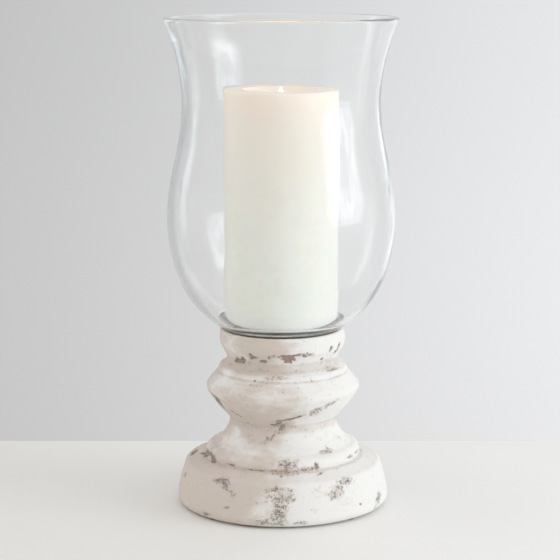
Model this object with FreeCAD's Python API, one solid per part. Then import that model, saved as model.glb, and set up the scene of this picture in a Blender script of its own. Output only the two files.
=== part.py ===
import FreeCAD, Part
import math
import os

# Hurricane lantern: a hollow cast pedestal, a closed-bottom glass that stands loose on it,
# and a battery pillar candle that stands loose in the glass.
# Millimetres. +Z is up, the axis of every turned piece is the Z axis, and Z = 0 is the table.

V = FreeCAD.Vector
AXIS = V(0, 0, 1)
QUARTER_SAG = 1 - math.sqrt(0.5)    # bulge of a quarter circle of radius 1

# ------------------------------------------------------------------ candle, driving sizes
CANDLE_RADIUS = 37.5
CANDLE_HEIGHT = 152.4
WAX_WALL = 6.6
WAX_EDGE_ROUND = 1.2
DISH_RING_WIDTH = 13.0          # flat ring around the dished top
DISH_DEPTH = 8.0
DISH_FLOOR_RADIUS = 11.0
DISH_EDGE_ROUND = 0.8
DISH_BULGE = -1.6
WAX_ROOF = 10.0                 # wax under the dish, above the hollow core

# ------------------------------------------------------------------ glass, driving sizes
GLASS_HEIGHT = 203.9
GLASS_WALL = 2.5
GLASS_FLOOR = 5.0
FLOOR_MARGIN = 4.0              # flat floor beyond the candle's foot
FOOT_TUCK = 3.1                 # how far the foot stands in from the edge of the floor
HEEL_HEIGHT = 1.7
HEEL_REACH = 3.4                # foot to the start of the bowl
HEEL_BULGE = 0.35
FLOOR_CORNER_BULGE = -0.4
RIM_DROP = 0.65                 # top of the outer wall below the rim, as a share of the wall
PUNT_RISE = 0.9                 # hollow under the foot
PUNT_INSET = 8.0                # flat standing ring around the hollow
BOWL_RADIUS = 75.1
BOWL_RISE = 73.0                # foot to widest point of the bowl
WAIST_RADIUS = 64.9
WAIST_RISE = 147.0              # foot to narrowest point above the bowl
RIM_RADIUS = 76.3

# ------------------------------------------------------------------ pedestal, driving sizes
FOOT_PAD_THICKNESS = 1.2
FOOT_PAD_RADIUS = 4.75
FOOT_PAD_COUNT = 4
FOOT_RING_WIDTH = 10.7
SEAT_PAD_THICKNESS = 3.0
SEAT_PAD_STANDOUT = 0.8         # pad above the lip, so that the glass never touches the rim
SEAT_PAD_MARGIN = 0.5           # pad inside the glass's foot
SEAT_CLEARANCE = 0.6            # pad to the wall of its recess
LIP_WIDTH = 2.4
SHELL_WALL = 7.6                # at the neck
DECK_THICKNESS = 12.0           # under the seat
CORE_SHOULDER = 12.0            # core's slope starts this far under the neck and the plinth's edge
CORE_DRAFT = 3.0

PLINTH_HEIGHT = 28.7
PLINTH_TOP_RISE = 3.1
STEP_HEIGHT = 8.5
SKIRT_HEIGHT = 16.0
BELLY_RISE = 22.8
BELLY_FALL = 10.7
RING_HEIGHT = 3.6
GROOVE_HEIGHT = 12.4
COLLAR_HEIGHT = 11.5

COLLAR_SWELL = 0.9              # collar beyond the lip
GROOVE_DEPTH = 5.1              # each of these is measured from the collar's radius
RING_PROJECTION = 1.2
BELLY_PROJECTION = 9.4
NECK_DEPTH = 6.1
STEP_PROJECTION = 9.2
PLINTH_PROJECTION = 28.1
PLINTH_FOOT_TUCK = 4.7
PLINTH_TOE_HEIGHT = 6.3         # table side of the plinth up to its widest
PLINTH_DRAFT = 4.3
PLINTH_EDGE_ROUND = 3.4
STEP_TAPER = 3.9
STEP_LEDGE = 1.2
NECK_FLARE = (1.3, 4.0)         # how far the neck has widened again, over which height
NECK_LOW = 0.8                  # narrowest point below the neck's height
BELLY_EDGE_LOW = (0.9, 3.0)     # start of the belly's rounded edge: in from its radius, below it
BELLY_EDGE_HIGH = (1.1, 2.8)    # and its end: in from its radius, above it
RING_TAPER = 2.4
GROOVE_FALL = 4.2               # top of the ring up to the deepest point of the groove
LIP_EDGE = 1.0

# How far each arc of the pedestal's outline stands out from its chord. Minus is hollow.
TOE_BULGE = 1.9
PLINTH_BULGE = 0.6
PLINTH_EDGE_BULGE = 1.1
STEP_BULGE = 2.0
SKIRT_BULGE = -1.9
NECK_BULGE = -0.5
FLANK_BULGE = 0.5
BELLY_BULGE = 1.0
RING_BULGE = 1.0
GROOVE_BULGE = -0.8
COLLAR_BULGE = -0.5
LIP_BULGE = 0.3
CORE_BULGE = -2.5
CORE_CORNER = 2.0               # round at the top of the hollow core

# ------------------------------------------------------------------ candle inside, driving sizes
CELL_RADIUS = 13.1
CELL_LENGTH = 50.0
CELL_NUB_RADIUS = 3.2
CELL_NUB_HEIGHT = 1.5
CELL_COUNT = 2
CELL_EDGE_ROUND = 0.6
CELL_CLEARANCE = 0.35
TUBE_WALL = 1.8
TUBE_CAP = 2.0
TUBE_FLANGE_THICKNESS = 2.0
LEAF_RISE = 5.4                 # door to cell, the sprung length of the leaf
LEAF_INSET = 1.5                # edge of the leaf's disc inside the tube's bore
LEAF_WIDTH = 6.0
LEAF_FOOT_INSET = 2.0
LEAF_FOOT_SPREAD = 1.6          # width of the arch's foot, in thicknesses of the metal
SHEET_METAL = 0.4

PLATE_INSET = 1.0
PLATE_THICKNESS = 3.0
PLATE_LEDGE = 1.5
GLUE_GAP = 0.1

DOOR_MARGIN = 1.75
DOOR_CLEARANCE = 0.3
DOOR_THICKNESS = 2.7
DOOR_LUG_REACH = 1.75
DOOR_LUG_THICKNESS = 1.0
DOOR_LUG_ANGLE = 24.0
DOOR_LUG_PLAY = 3.0             # degrees between a lug and the end of its channel
DOOR_TURN = 40.0                # degrees from locked to the notch
DOOR_LUG_BEARINGS = (90.0, 270.0)
LIP_OF_CHANNEL = 1.5
COIN_SLOT = (20.0, 1.8, 1.1)    # length, width, depth

SCREW_RADIUS = 0.8
SCREW_HEAD_RADIUS = 1.8
SCREW_HEAD_HEIGHT = 1.2
SCREW_BITE = 2.4
SCREW_RECESS = (2.5, 0.45, 0.7)     # length of the cross, its half width, its depth
SCREW_HEAD_GAP = 0.25           # between a screw and the channel or rim beside it
SCREW_HEAD_MARGIN = 0.7
TUBE_SCREW_BEARINGS = (20.0, 160.0, 200.0, 340.0)

BOARD_RADIUS = 20.0
BOARD_THICKNESS = 1.6
BOARD_POST_RADIUS = 2.2
BOARD_POST_HEIGHT = 2.0
BOARD_POST_PITCH = 12.0
BOARD_POST_BEARINGS = (30.0, 150.0, 270.0)
CHIP_SIZE = (5.0, 4.0, 1.5)
CHIP_PLACE = (12.0, -4.5)
CHIP_STANDOFF = 0.2
CHIP_LEG = (0.45, 0.4)          # width, thickness
CHIP_LEG_COUNT = 4
CHIP_LEG_PITCH = 1.27
CHIP_LEG_REACH = 1.0
CAPACITOR_RADIUS = 2.5
CAPACITOR_HEIGHT = 7.0
CAPACITOR_PLACE = (-9.0, -7.5)
CAPACITOR_SCORE = (3.0, 0.3, 0.2)   # length, width, depth of the vent score

STRIP_WIDTH = 4.0
STRIP_FINGER = 3.0              # how far the strip's foot reaches into the tube
SOLDER_LENGTH = 1.1             # metal of the strip that stands through the board
PIN_LENGTH = 0.5                # of the contact's pin
LEAD_TAIL = 0.8                 # of the LED's leads and the wires
CONTACT_RADIUS = 5.0
CONTACT_THICKNESS = 0.6
CONTACT_PIN_RADIUS = 0.5

LED_RADIUS = 2.5
LED_LENGTH = 8.6
LED_FLANGE_RADIUS = 2.9
LED_FLANGE_HEIGHT = 1.0
LED_FLANGE_FIT = 0.15
LED_BELOW_FLOOR = 7.2           # LED's flange below the floor of the dish
LEAD_RADIUS = 0.25
LEAD_PITCH = 2.54
POST_RADIUS = 4.0
POST_FOOT_RADIUS = 6.5
POST_FOOT_HEIGHT = 1.6
POST_BORE_RADIUS = 2.2
POST_CLEARANCE = 0.2
LENS_HEIGHT = 9.3
LENS_CLEARANCE = 0.25
LENS_TIP_RADIUS = 0.6
LENS_SWELL = (0.1, 0.22)        # beyond the post's radius, at this share of the height
LENS_SHOULDER = (0.62, 0.60)    # share of the post's radius, at this share of the height
LENS_FOOT_INSET = 0.1

SWITCH_SIZE = (12.0, 6.4, 7.0)
SWITCH_WALL = 0.8
SWITCH_GAP = 0.7                # between the tube's flange and the switch
SWITCH_TRAVEL = 4.0
SLIDER_BASE = (5.0, 4.2, 3.0)
SLIDER_STEM = (3.0, 2.6)
SLIDER_GAP = 0.2
SLIDER_SLOT_CLEARANCE = 0.3
WIRE_RADIUS = 0.6
WIRE_CORE_RADIUS = 0.3
WIRE_PITCH = 4.0
WIRE_BOARD_Y = 17.5
WIRE_BEND_RADIUS = 60.0
WIRE_STRAIGHT = 15.0

FIT = 0.3                       # play around a pin or a tab that passes through a piece
HOLE_FIT = 0.1                  # play around a lead or a screw in the board
TIP_GAP = 0.2                   # end of a screw to the end of its hole
OVERRUN = 1.0                   # how far a cut runs past the face that it opens

# ------------------------------------------------------------------ sizes that follow
# The candle's foot sets the glass's floor, the glass's foot sets the pedestal's seat.
floor_radius = CANDLE_RADIUS + FLOOR_MARGIN
foot_radius = floor_radius - FOOT_TUCK
heel_radius = foot_radius + HEEL_REACH
seat_pad_radius = foot_radius - SEAT_PAD_MARGIN
seat_radius = seat_pad_radius + SEAT_CLEARANCE
lip_radius = seat_radius + LIP_WIDTH
collar_radius = lip_radius + COLLAR_SWELL
groove_radius = collar_radius - GROOVE_DEPTH
ring_radius = collar_radius + RING_PROJECTION
belly_radius = collar_radius + BELLY_PROJECTION
neck_radius = collar_radius - NECK_DEPTH
step_radius = collar_radius + STEP_PROJECTION
plinth_radius = collar_radius + PLINTH_PROJECTION
plinth_foot_radius = plinth_radius - PLINTH_FOOT_TUCK
plinth_top_radius = plinth_radius - PLINTH_DRAFT
core_foot_radius = plinth_foot_radius - FOOT_RING_WIDTH
core_neck_radius = neck_radius - SHELL_WALL
foot_pad_pitch = plinth_foot_radius - FOOT_RING_WIDTH / 2

plinth_z = FOOT_PAD_THICKNESS
plinth_edge_z = plinth_z + PLINTH_HEIGHT
step_z = plinth_edge_z + PLINTH_TOP_RISE
skirt_z = step_z + STEP_HEIGHT
neck_z = skirt_z + SKIRT_HEIGHT
belly_z = neck_z + BELLY_RISE
ring_z = belly_z + BELLY_FALL
groove_z = ring_z + RING_HEIGHT
collar_z = groove_z + GROOVE_HEIGHT
lip_z = collar_z + COLLAR_HEIGHT
glass_z = lip_z + SEAT_PAD_STANDOUT
seat_z = glass_z - SEAT_PAD_THICKNESS
deck_z = seat_z - DECK_THICKNESS
candle_z = glass_z + GLASS_FLOOR
candle_top_z = candle_z + CANDLE_HEIGHT

# Inside the candle, from its foot upwards.
wax_core_radius = CANDLE_RADIUS - WAX_WALL
plate_z = candle_z + PLATE_INSET
plate_top_z = plate_z + PLATE_THICKNESS
plate_seat_radius = wax_core_radius + PLATE_LEDGE
tube_bore = CELL_RADIUS + CELL_CLEARANCE
tube_radius = tube_bore + TUBE_WALL
door_radius = tube_bore + DOOR_MARGIN
door_hole_radius = door_radius + DOOR_CLEARANCE
lug_radius = door_radius + DOOR_LUG_REACH
channel_radius = lug_radius + DOOR_CLEARANCE
channel_z = plate_z + LIP_OF_CHANNEL
door_top_z = plate_z + DOOR_THICKNESS
screw_pitch = channel_radius + SCREW_RADIUS + SCREW_HEAD_GAP
flange_radius = screw_pitch + SCREW_HEAD_RADIUS + SCREW_HEAD_MARGIN
switch_y = flange_radius + SWITCH_GAP + SWITCH_SIZE[1] / 2
cell_z = door_top_z + LEAF_RISE + FIT
cell_stack_top_z = cell_z + CELL_COUNT * CELL_LENGTH
tube_bore_top_z = cell_stack_top_z + CONTACT_THICKNESS
tube_top_z = tube_bore_top_z + TUBE_CAP
board_z = tube_top_z + BOARD_POST_HEIGHT
board_top_z = board_z + BOARD_THICKNESS
dish_z = candle_top_z - DISH_DEPTH
wax_roof_z = dish_z - WAX_ROOF
led_z = dish_z - LED_BELOW_FLOOR
strip_inner_x = tube_radius + GLUE_GAP
strip_outer_x = strip_inner_x + SHEET_METAL
dish_edge_radius = CANDLE_RADIUS - DISH_RING_WIDTH


# ------------------------------------------------------------------ drawing helpers
class Outline:
    """A closed outline in the plane of radius and height, turned about the axis."""

    def __init__(self, radius, height):
        self.start = V(radius, 0, height)
        self.pen = self.start
        self.edges = []

    def _add(self, curve, end):
        self.edges.append(curve.toShape())
        self.pen = end

    def line(self, radius, height):
        """Straight to a point."""
        end = V(radius, 0, height)
        self._add(Part.LineSegment(self.pen, end), end)

    def bow(self, radius, height, sag):
        """Arc to a point. A positive sag bulges to the right of the way it is drawn."""
        end = V(radius, 0, height)
        run = end - self.pen
        side = V(run.z, 0, -run.x).normalize()
        middle = (self.pen + end) * 0.5 + side * sag
        self._add(Part.Arc(self.pen, middle, end), end)

    def crown(self, radius, height):
        """Arc to a point, from or to the axis, which it meets squarely."""
        reach = max(self.pen.x, radius)
        rise = abs(height - self.pen.z)
        curve_radius = (reach ** 2 + rise ** 2) / (2 * rise)
        half_chord = math.hypot(reach, rise) / 2
        sag = curve_radius - math.sqrt(curve_radius ** 2 - half_chord ** 2)
        centre_below = (self.pen.x > radius) == (height > self.pen.z)
        outward = radius < self.pen.x
        self.bow(radius, height, sag if centre_below == outward else -sag)

    def curve(self, points):
        """Smooth curve on from the pen through the points."""
        through = [self.pen] + [V(radius, 0, height) for radius, height in points]
        spline = Part.BSplineCurve()
        spline.interpolate(through)
        self._add(spline, through[-1])
        return spline

    def turn(self):
        """Close the outline and turn it into a solid."""
        if self.pen.distanceToPoint(self.start) > 1e-6:
            self.line(self.start.x, self.start.z)
        return Part.Face(Part.Wire(self.edges)).revolve(V(0, 0, 0), AXIS, 360)


def disc(radius, low, high, x=0.0, y=0.0):
    """Upright cylinder between two heights."""
    return Part.makeCylinder(radius, high - low, V(x, y, low), AXIS)


def block(x, y, z):
    """Box between three (low, high) pairs."""
    return Part.makeBox(x[1] - x[0], y[1] - y[0], z[1] - z[0], V(x[0], y[0], z[0]))


def centred_block(size_x, size_y, z, x=0.0, y=0.0):
    """Box centred on (x, y) between two heights."""
    return block((x - size_x / 2, x + size_x / 2), (y - size_y / 2, y + size_y / 2), z)


def opened(low, high):
    """Heights of a cut that runs past both faces."""
    return low - OVERRUN, high + OVERRUN


def sector(radius, low, high, start, end):
    """Slice of a cylinder between two bearings in degrees."""
    piece = Part.makeCylinder(radius, high - low, V(0, 0, low), AXIS, end - start)
    piece.rotate(V(0, 0, 0), AXIS, start)
    return piece


def at_bearing(pitch, bearing):
    """Point (x, y) at a pitch radius and a bearing in degrees."""
    angle = math.radians(bearing)
    return pitch * math.cos(angle), pitch * math.sin(angle)


def bent_rod(points, bend_radius, radius):
    """Round rod along straight runs joined by tangent arcs."""
    edges = []
    pen = points[0]
    for before, corner, after in zip(points, points[1:], points[2:]):
        towards = (before - corner).normalize()
        away = (after - corner).normalize()
        half_turn = (math.pi - towards.getAngle(away)) / 2
        setback = bend_radius * math.tan(half_turn)
        into = corner + towards * setback
        out = corner + away * setback
        inward = (towards + away).normalize()
        middle = corner + inward * (bend_radius / math.cos(half_turn) - bend_radius)
        edges.append(Part.LineSegment(pen, into).toShape())
        edges.append(Part.Arc(into, middle, out).toShape())
        pen = out
    edges.append(Part.LineSegment(pen, points[-1]).toShape())
    start = (points[1] - points[0]).normalize()
    section = Part.Wire(Part.makeCircle(radius, points[0], start))
    return Part.Wire(edges).makePipeShell([section], True, False)


def crossed_screw(x, y, head_z, length):
    """Pan-head screw with a cross recess, its head standing on head_z and its shank going down."""
    arm, half_width, depth = SCREW_RECESS
    top = head_z + SCREW_HEAD_HEIGHT
    screw = disc(SCREW_HEAD_RADIUS, head_z, top, x, y)
    screw = screw.fuse(disc(SCREW_RADIUS, head_z - length, head_z, x, y))
    recess = centred_block(arm, 2 * half_width, (top - depth, top + OVERRUN), x, y)
    recess = recess.fuse(centred_block(2 * half_width, arm, (top - depth, top + OVERRUN), x, y))
    return screw.cut(recess).removeSplitter()


# ------------------------------------------------------------------ pedestal
def pedestal_body():
    """Cast shell: plinth, step, skirt, belly, ring, groove and collar over a tapered core."""
    outline = Outline(core_foot_radius, plinth_z)
    outline.line(plinth_foot_radius, plinth_z)
    outline.bow(plinth_radius, plinth_z + PLINTH_TOE_HEIGHT, TOE_BULGE)
    outline.bow(plinth_top_radius, plinth_edge_z - PLINTH_EDGE_ROUND, PLINTH_BULGE)
    outline.bow(plinth_top_radius - PLINTH_EDGE_ROUND, plinth_edge_z, PLINTH_EDGE_BULGE)
    outline.line(step_radius, step_z)
    outline.bow(step_radius - STEP_TAPER, skirt_z, STEP_BULGE)
    outline.line(step_radius - STEP_TAPER - STEP_LEDGE, skirt_z)
    narrowest_z = neck_z - NECK_LOW
    outline.bow(neck_radius, narrowest_z, SKIRT_BULGE)
    outline.bow(neck_radius + NECK_FLARE[0], narrowest_z + NECK_FLARE[1], NECK_BULGE)
    outline.bow(belly_radius - BELLY_EDGE_LOW[0], belly_z - BELLY_EDGE_LOW[1], FLANK_BULGE)
    outline.bow(belly_radius - BELLY_EDGE_HIGH[0], belly_z + BELLY_EDGE_HIGH[1], BELLY_BULGE)
    outline.line(ring_radius, ring_z)
    outline.bow(ring_radius - RING_TAPER, groove_z, RING_BULGE)
    outline.bow(groove_radius, groove_z + GROOVE_FALL, GROOVE_BULGE)
    outline.bow(lip_radius, collar_z, COLLAR_BULGE)
    outline.bow(lip_radius, lip_z - LIP_EDGE, COLLAR_SWELL)
    outline.bow(lip_radius - LIP_EDGE, lip_z, LIP_BULGE)
    outline.line(seat_radius, lip_z)
    outline.line(seat_radius, seat_z)
    outline.line(0, seat_z)
    outline.line(0, deck_z)
    outline.line(core_neck_radius - CORE_CORNER, deck_z)
    outline.bow(core_neck_radius, deck_z - CORE_CORNER, -QUARTER_SAG * CORE_CORNER)
    outline.line(core_neck_radius, neck_z - CORE_SHOULDER)
    outline.bow(core_foot_radius - CORE_DRAFT, plinth_edge_z - CORE_SHOULDER, CORE_BULGE)
    return outline.turn()


def felt_feet():
    """Felt dots under the foot ring."""
    dots = []
    for number in range(FOOT_PAD_COUNT):
        x, y = at_bearing(foot_pad_pitch, (number + 0.5) * 360.0 / FOOT_PAD_COUNT)
        dots.append(disc(FOOT_PAD_RADIUS, 0, FOOT_PAD_THICKNESS, x, y))
    return Part.makeCompound(dots)


def glass_seat_pad():
    """Felt disc that the glass stands on."""
    return disc(seat_pad_radius, seat_z, glass_z)


# ------------------------------------------------------------------ glass
def glass_wall_points():
    """Outer wall above the heel, up to the rim, as (radius, height above the foot).

    Each pair of shares places a point between two of the named widths and heights.
    """
    heel = floor_radius - 1.1
    rim_rise = GLASS_HEIGHT - RIM_DROP * GLASS_WALL
    points = []
    for out, up in ((0.161, 0.064), (0.519, 0.227), (0.813, 0.486), (1.0, 1.0)):
        points.append((heel + out * (BOWL_RADIUS - heel), up * BOWL_RISE))
    for out, up in ((0.39, 0.44), (0.74, 0.66), (1.0, 1.0)):
        radius = BOWL_RADIUS + out * (WAIST_RADIUS - BOWL_RADIUS)
        points.append((radius, BOWL_RISE + up * (WAIST_RISE - BOWL_RISE)))
    for out, up in ((0.17, 0.42), (0.47, 0.69), (1.0, 1.0)):
        radius = WAIST_RADIUS + out * (RIM_RADIUS - WAIST_RADIUS)
        points.append((radius, WAIST_RISE + up * (rim_rise - WAIST_RISE)))
    return points


def glass_hurricane():
    """Blown glass with a closed bottom, a full bowl, a waist and a flared, fire-polished rim."""
    outer_points = [(radius, glass_z + rise) for radius, rise in glass_wall_points()]
    outline = Outline(0, glass_z + PUNT_RISE)
    outline.crown(foot_radius - PUNT_INSET, glass_z)
    outline.line(foot_radius, glass_z)
    outline.bow(heel_radius, glass_z + HEEL_HEIGHT, HEEL_BULGE)
    wall = outline.curve(outer_points)
    inner_points = []
    for radius, height in outer_points:
        along = wall.tangent(wall.parameter(V(radius, 0, height)))[0]
        inner_points.append((radius - along.z * GLASS_WALL, height + along.x * GLASS_WALL))
    inner_points.reverse()
    outline.bow(inner_points[0][0], inner_points[0][1], GLASS_WALL / 2)
    outline.curve(inner_points[1:])
    outline.bow(floor_radius, candle_z, FLOOR_CORNER_BULGE)
    outline.line(0, candle_z)
    return outline.turn()


# ------------------------------------------------------------------ candle
def candle_wax_shell():
    """Wax pillar with a dished top, a hole for the light and a hollow core."""
    outline = Outline(plate_seat_radius, candle_z)
    outline.line(CANDLE_RADIUS - WAX_EDGE_ROUND, candle_z)
    outline.bow(CANDLE_RADIUS, candle_z + WAX_EDGE_ROUND, QUARTER_SAG * WAX_EDGE_ROUND)
    outline.line(CANDLE_RADIUS, candle_top_z - WAX_EDGE_ROUND)
    outline.bow(CANDLE_RADIUS - WAX_EDGE_ROUND, candle_top_z, QUARTER_SAG * WAX_EDGE_ROUND)
    outline.line(dish_edge_radius + DISH_EDGE_ROUND, candle_top_z)
    outline.bow(dish_edge_radius, candle_top_z - DISH_EDGE_ROUND, QUARTER_SAG * DISH_EDGE_ROUND)
    outline.bow(DISH_FLOOR_RADIUS, dish_z, DISH_BULGE)
    outline.line(POST_RADIUS + POST_CLEARANCE, dish_z)
    outline.line(POST_RADIUS + POST_CLEARANCE, wax_roof_z)
    outline.line(wax_core_radius, wax_roof_z)
    outline.line(wax_core_radius, plate_top_z)
    outline.line(plate_seat_radius, plate_top_z)
    return outline.turn()


def bottom_plate():
    """Moulded plate with the door's hole, its bayonet channels and the switch's slot."""
    plate = disc(plate_seat_radius - GLUE_GAP, plate_z, plate_top_z)
    through = opened(plate_z, plate_top_z)
    plate = plate.cut(disc(door_hole_radius, through[0], through[1]))
    half = DOOR_LUG_ANGLE / 2 + DOOR_LUG_PLAY
    for bearing in DOOR_LUG_BEARINGS:
        notch_start = bearing + DOOR_TURN - half
        notch_end = bearing + DOOR_TURN + half
        channel = sector(channel_radius, channel_z, through[1], bearing - half, notch_end)
        notch = sector(channel_radius, through[0], through[1], notch_start, notch_end)
        plate = plate.cut(channel).cut(notch)
    slot_x = SWITCH_TRAVEL + SLIDER_STEM[0] + 2 * SLIDER_SLOT_CLEARANCE
    slot_y = SLIDER_STEM[1] + 2 * SLIDER_SLOT_CLEARANCE
    plate = plate.cut(centred_block(slot_x, slot_y, through, 0, switch_y))
    for bearing in TUBE_SCREW_BEARINGS:
        x, y = at_bearing(screw_pitch, bearing)
        plate = plate.cut(disc(SCREW_RADIUS, plate_top_z - SCREW_BITE, through[1], x, y))
    return plate


def battery_tube():
    """Tube for the cells, with a flange on the plate and posts for the board on its cap."""
    outline = Outline(tube_bore, plate_top_z)
    outline.line(flange_radius, plate_top_z)
    outline.line(flange_radius, plate_top_z + TUBE_FLANGE_THICKNESS)
    outline.line(tube_radius, plate_top_z + TUBE_FLANGE_THICKNESS)
    outline.line(tube_radius, tube_top_z)
    outline.line(CONTACT_PIN_RADIUS + FIT, tube_top_z)
    outline.line(CONTACT_PIN_RADIUS + FIT, tube_bore_top_z)
    outline.line(tube_bore, tube_bore_top_z)
    tube = outline.turn()
    for bearing in BOARD_POST_BEARINGS:
        x, y = at_bearing(BOARD_POST_PITCH, bearing)
        tube = tube.fuse(disc(BOARD_POST_RADIUS, tube_top_z, board_z, x, y))
        tube = tube.cut(disc(SCREW_RADIUS, board_z - SCREW_BITE, board_z + OVERRUN, x, y))
    for bearing in TUBE_SCREW_BEARINGS:
        x, y = at_bearing(screw_pitch, bearing)
        low, high = opened(plate_top_z, plate_top_z + TUBE_FLANGE_THICKNESS)
        tube = tube.cut(disc(SCREW_RADIUS, low, high, x, y))
    strip_slot = block(
        (-strip_outer_x - FIT, OVERRUN - tube_bore),
        (-STRIP_WIDTH / 2 - FIT, STRIP_WIDTH / 2 + FIT),
        (plate_top_z - OVERRUN, plate_top_z + TUBE_FLANGE_THICKNESS),
    )
    return tube.cut(strip_slot)


def tube_screws():
    """Screws that hold the tube's flange to the plate."""
    head_z = plate_top_z + TUBE_FLANGE_THICKNESS
    length = TUBE_FLANGE_THICKNESS + SCREW_BITE - TIP_GAP
    places = [at_bearing(screw_pitch, bearing) for bearing in TUBE_SCREW_BEARINGS]
    return Part.makeCompound([crossed_screw(x, y, head_z, length) for x, y in places])


def board_screws():
    """Screws that hold the board to the tube's posts."""
    length = BOARD_THICKNESS + SCREW_BITE - TIP_GAP
    places = [at_bearing(BOARD_POST_PITCH, bearing) for bearing in BOARD_POST_BEARINGS]
    return Part.makeCompound([crossed_screw(x, y, board_top_z, length) for x, y in places])


def battery(number):
    """C cell with its raised positive nub, counted from the bottom."""
    low = cell_z + number * CELL_LENGTH
    shoulder = low + CELL_LENGTH - CELL_NUB_HEIGHT
    outline = Outline(0, low)
    sag = QUARTER_SAG * CELL_EDGE_ROUND
    outline.line(CELL_RADIUS - CELL_EDGE_ROUND, low)
    outline.bow(CELL_RADIUS, low + CELL_EDGE_ROUND, sag)
    outline.line(CELL_RADIUS, shoulder - CELL_EDGE_ROUND)
    outline.bow(CELL_RADIUS - CELL_EDGE_ROUND, shoulder, sag)
    outline.line(CELL_NUB_RADIUS, shoulder)
    outline.line(CELL_NUB_RADIUS, shoulder + CELL_NUB_HEIGHT)
    outline.line(0, shoulder + CELL_NUB_HEIGHT)
    return outline.turn()


def positive_contact():
    """Contact disc under the tube's cap, with a pin up to the board."""
    plate = disc(CONTACT_RADIUS, cell_stack_top_z, tube_bore_top_z)
    return plate.fuse(disc(CONTACT_PIN_RADIUS, tube_bore_top_z, board_top_z + PIN_LENGTH))


def conductor_strip():
    """Metal strip from the door's leaf, up the outside of the tube, to the board."""
    foot_z = plate_top_z + SHEET_METAL
    width = (-STRIP_WIDTH / 2, STRIP_WIDTH / 2)
    finger = block((-strip_outer_x, -strip_outer_x + STRIP_FINGER), width, (foot_z, foot_z + SHEET_METAL))
    upright = block((-strip_outer_x, -strip_inner_x), width, (foot_z, board_top_z + SOLDER_LENGTH))
    return finger.fuse(upright).removeSplitter()


def circuit_board():
    """Round board with holes for its screws, pins, leads, wires and strip."""
    board = disc(BOARD_RADIUS, board_z, board_top_z)
    low, high = opened(board_z, board_top_z)
    holes = [disc(CONTACT_PIN_RADIUS + HOLE_FIT, low, high)]
    for bearing in BOARD_POST_BEARINGS:
        x, y = at_bearing(BOARD_POST_PITCH, bearing)
        holes.append(disc(SCREW_RADIUS + HOLE_FIT, low, high, x, y))
    for side in (-1, 1):
        holes.append(disc(LEAD_RADIUS + HOLE_FIT, low, high, side * LEAD_PITCH / 2, 0))
        holes.append(disc(WIRE_CORE_RADIUS + HOLE_FIT, low, high, side * WIRE_PITCH / 2, WIRE_BOARD_Y))
    slot = (SHEET_METAL + 2 * HOLE_FIT, STRIP_WIDTH + 2 * HOLE_FIT)
    holes.append(centred_block(slot[0], slot[1], (low, high), -(strip_inner_x + strip_outer_x) / 2, 0))
    return board.cut(Part.makeCompound(holes))


def timer_chip():
    """Timer circuit with its legs soldered to the board."""
    x, y = CHIP_PLACE
    size_x, size_y, size_z = CHIP_SIZE
    chip = centred_block(size_x, size_y, (board_top_z + CHIP_STANDOFF, board_top_z + size_z), x, y)
    width, thickness = CHIP_LEG
    reach = size_y + 2 * CHIP_LEG_REACH
    for number in range(CHIP_LEG_COUNT):
        leg_x = x + (number - (CHIP_LEG_COUNT - 1) / 2) * CHIP_LEG_PITCH
        leg_z = (board_top_z, board_top_z + thickness)
        chip = chip.fuse(centred_block(width, reach, leg_z, leg_x, y))
    return chip.removeSplitter()


def board_capacitor():
    """Upright capacitor can on the board."""
    x, y = CAPACITOR_PLACE
    top = board_top_z + CAPACITOR_HEIGHT
    length, width, depth = CAPACITOR_SCORE
    score = centred_block(length, width, (top - depth, top + OVERRUN), x, y)
    return disc(CAPACITOR_RADIUS, board_top_z, top, x, y).cut(score)


def led_post():
    """Tube that holds the LED up in the hole of the wax and stands on the board."""
    outline = Outline(POST_BORE_RADIUS, board_top_z)
    outline.line(POST_FOOT_RADIUS, board_top_z)
    outline.line(POST_FOOT_RADIUS, board_top_z + POST_FOOT_HEIGHT)
    outline.line(POST_RADIUS, board_top_z + POST_FOOT_HEIGHT)
    outline.line(POST_RADIUS, dish_z)
    outline.line(LED_FLANGE_RADIUS + LED_FLANGE_FIT, dish_z)
    outline.line(LED_FLANGE_RADIUS + LED_FLANGE_FIT, led_z)
    outline.line(POST_BORE_RADIUS, led_z)
    return outline.turn()


def led_bulb():
    """Warm white LED, flange down on the ledge of its post."""
    outline = Outline(0, led_z)
    outline.line(LED_FLANGE_RADIUS, led_z)
    outline.line(LED_FLANGE_RADIUS, led_z + LED_FLANGE_HEIGHT)
    outline.line(LED_RADIUS, led_z + LED_FLANGE_HEIGHT)
    outline.line(LED_RADIUS, led_z + LED_LENGTH - LED_RADIUS)
    outline.crown(0, led_z + LED_LENGTH)
    return outline.turn()


def led_leads():
    """The LED's two leads, down through the board."""
    low = board_z - LEAD_TAIL
    return Part.makeCompound([disc(LEAD_RADIUS, low, led_z, side * LEAD_PITCH / 2) for side in (-1, 1)])


def flame_lens():
    """Teardrop lens over the LED, standing on the post."""
    base = dish_z
    tip = base + LENS_HEIGHT
    cavity_radius = LED_RADIUS + LENS_CLEARANCE
    outline = Outline(cavity_radius, base)
    outline.line(POST_RADIUS - LENS_FOOT_INSET, base)
    outline.curve([
        (POST_RADIUS + LENS_SWELL[0], base + LENS_SWELL[1] * LENS_HEIGHT),
        (LENS_SHOULDER[0] * POST_RADIUS, base + LENS_SHOULDER[1] * LENS_HEIGHT),
        (LENS_TIP_RADIUS, tip - LENS_TIP_RADIUS),
    ])
    outline.crown(0, tip)
    outline.line(0, base + cavity_radius)
    outline.crown(cavity_radius, base)
    return outline.turn()


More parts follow.
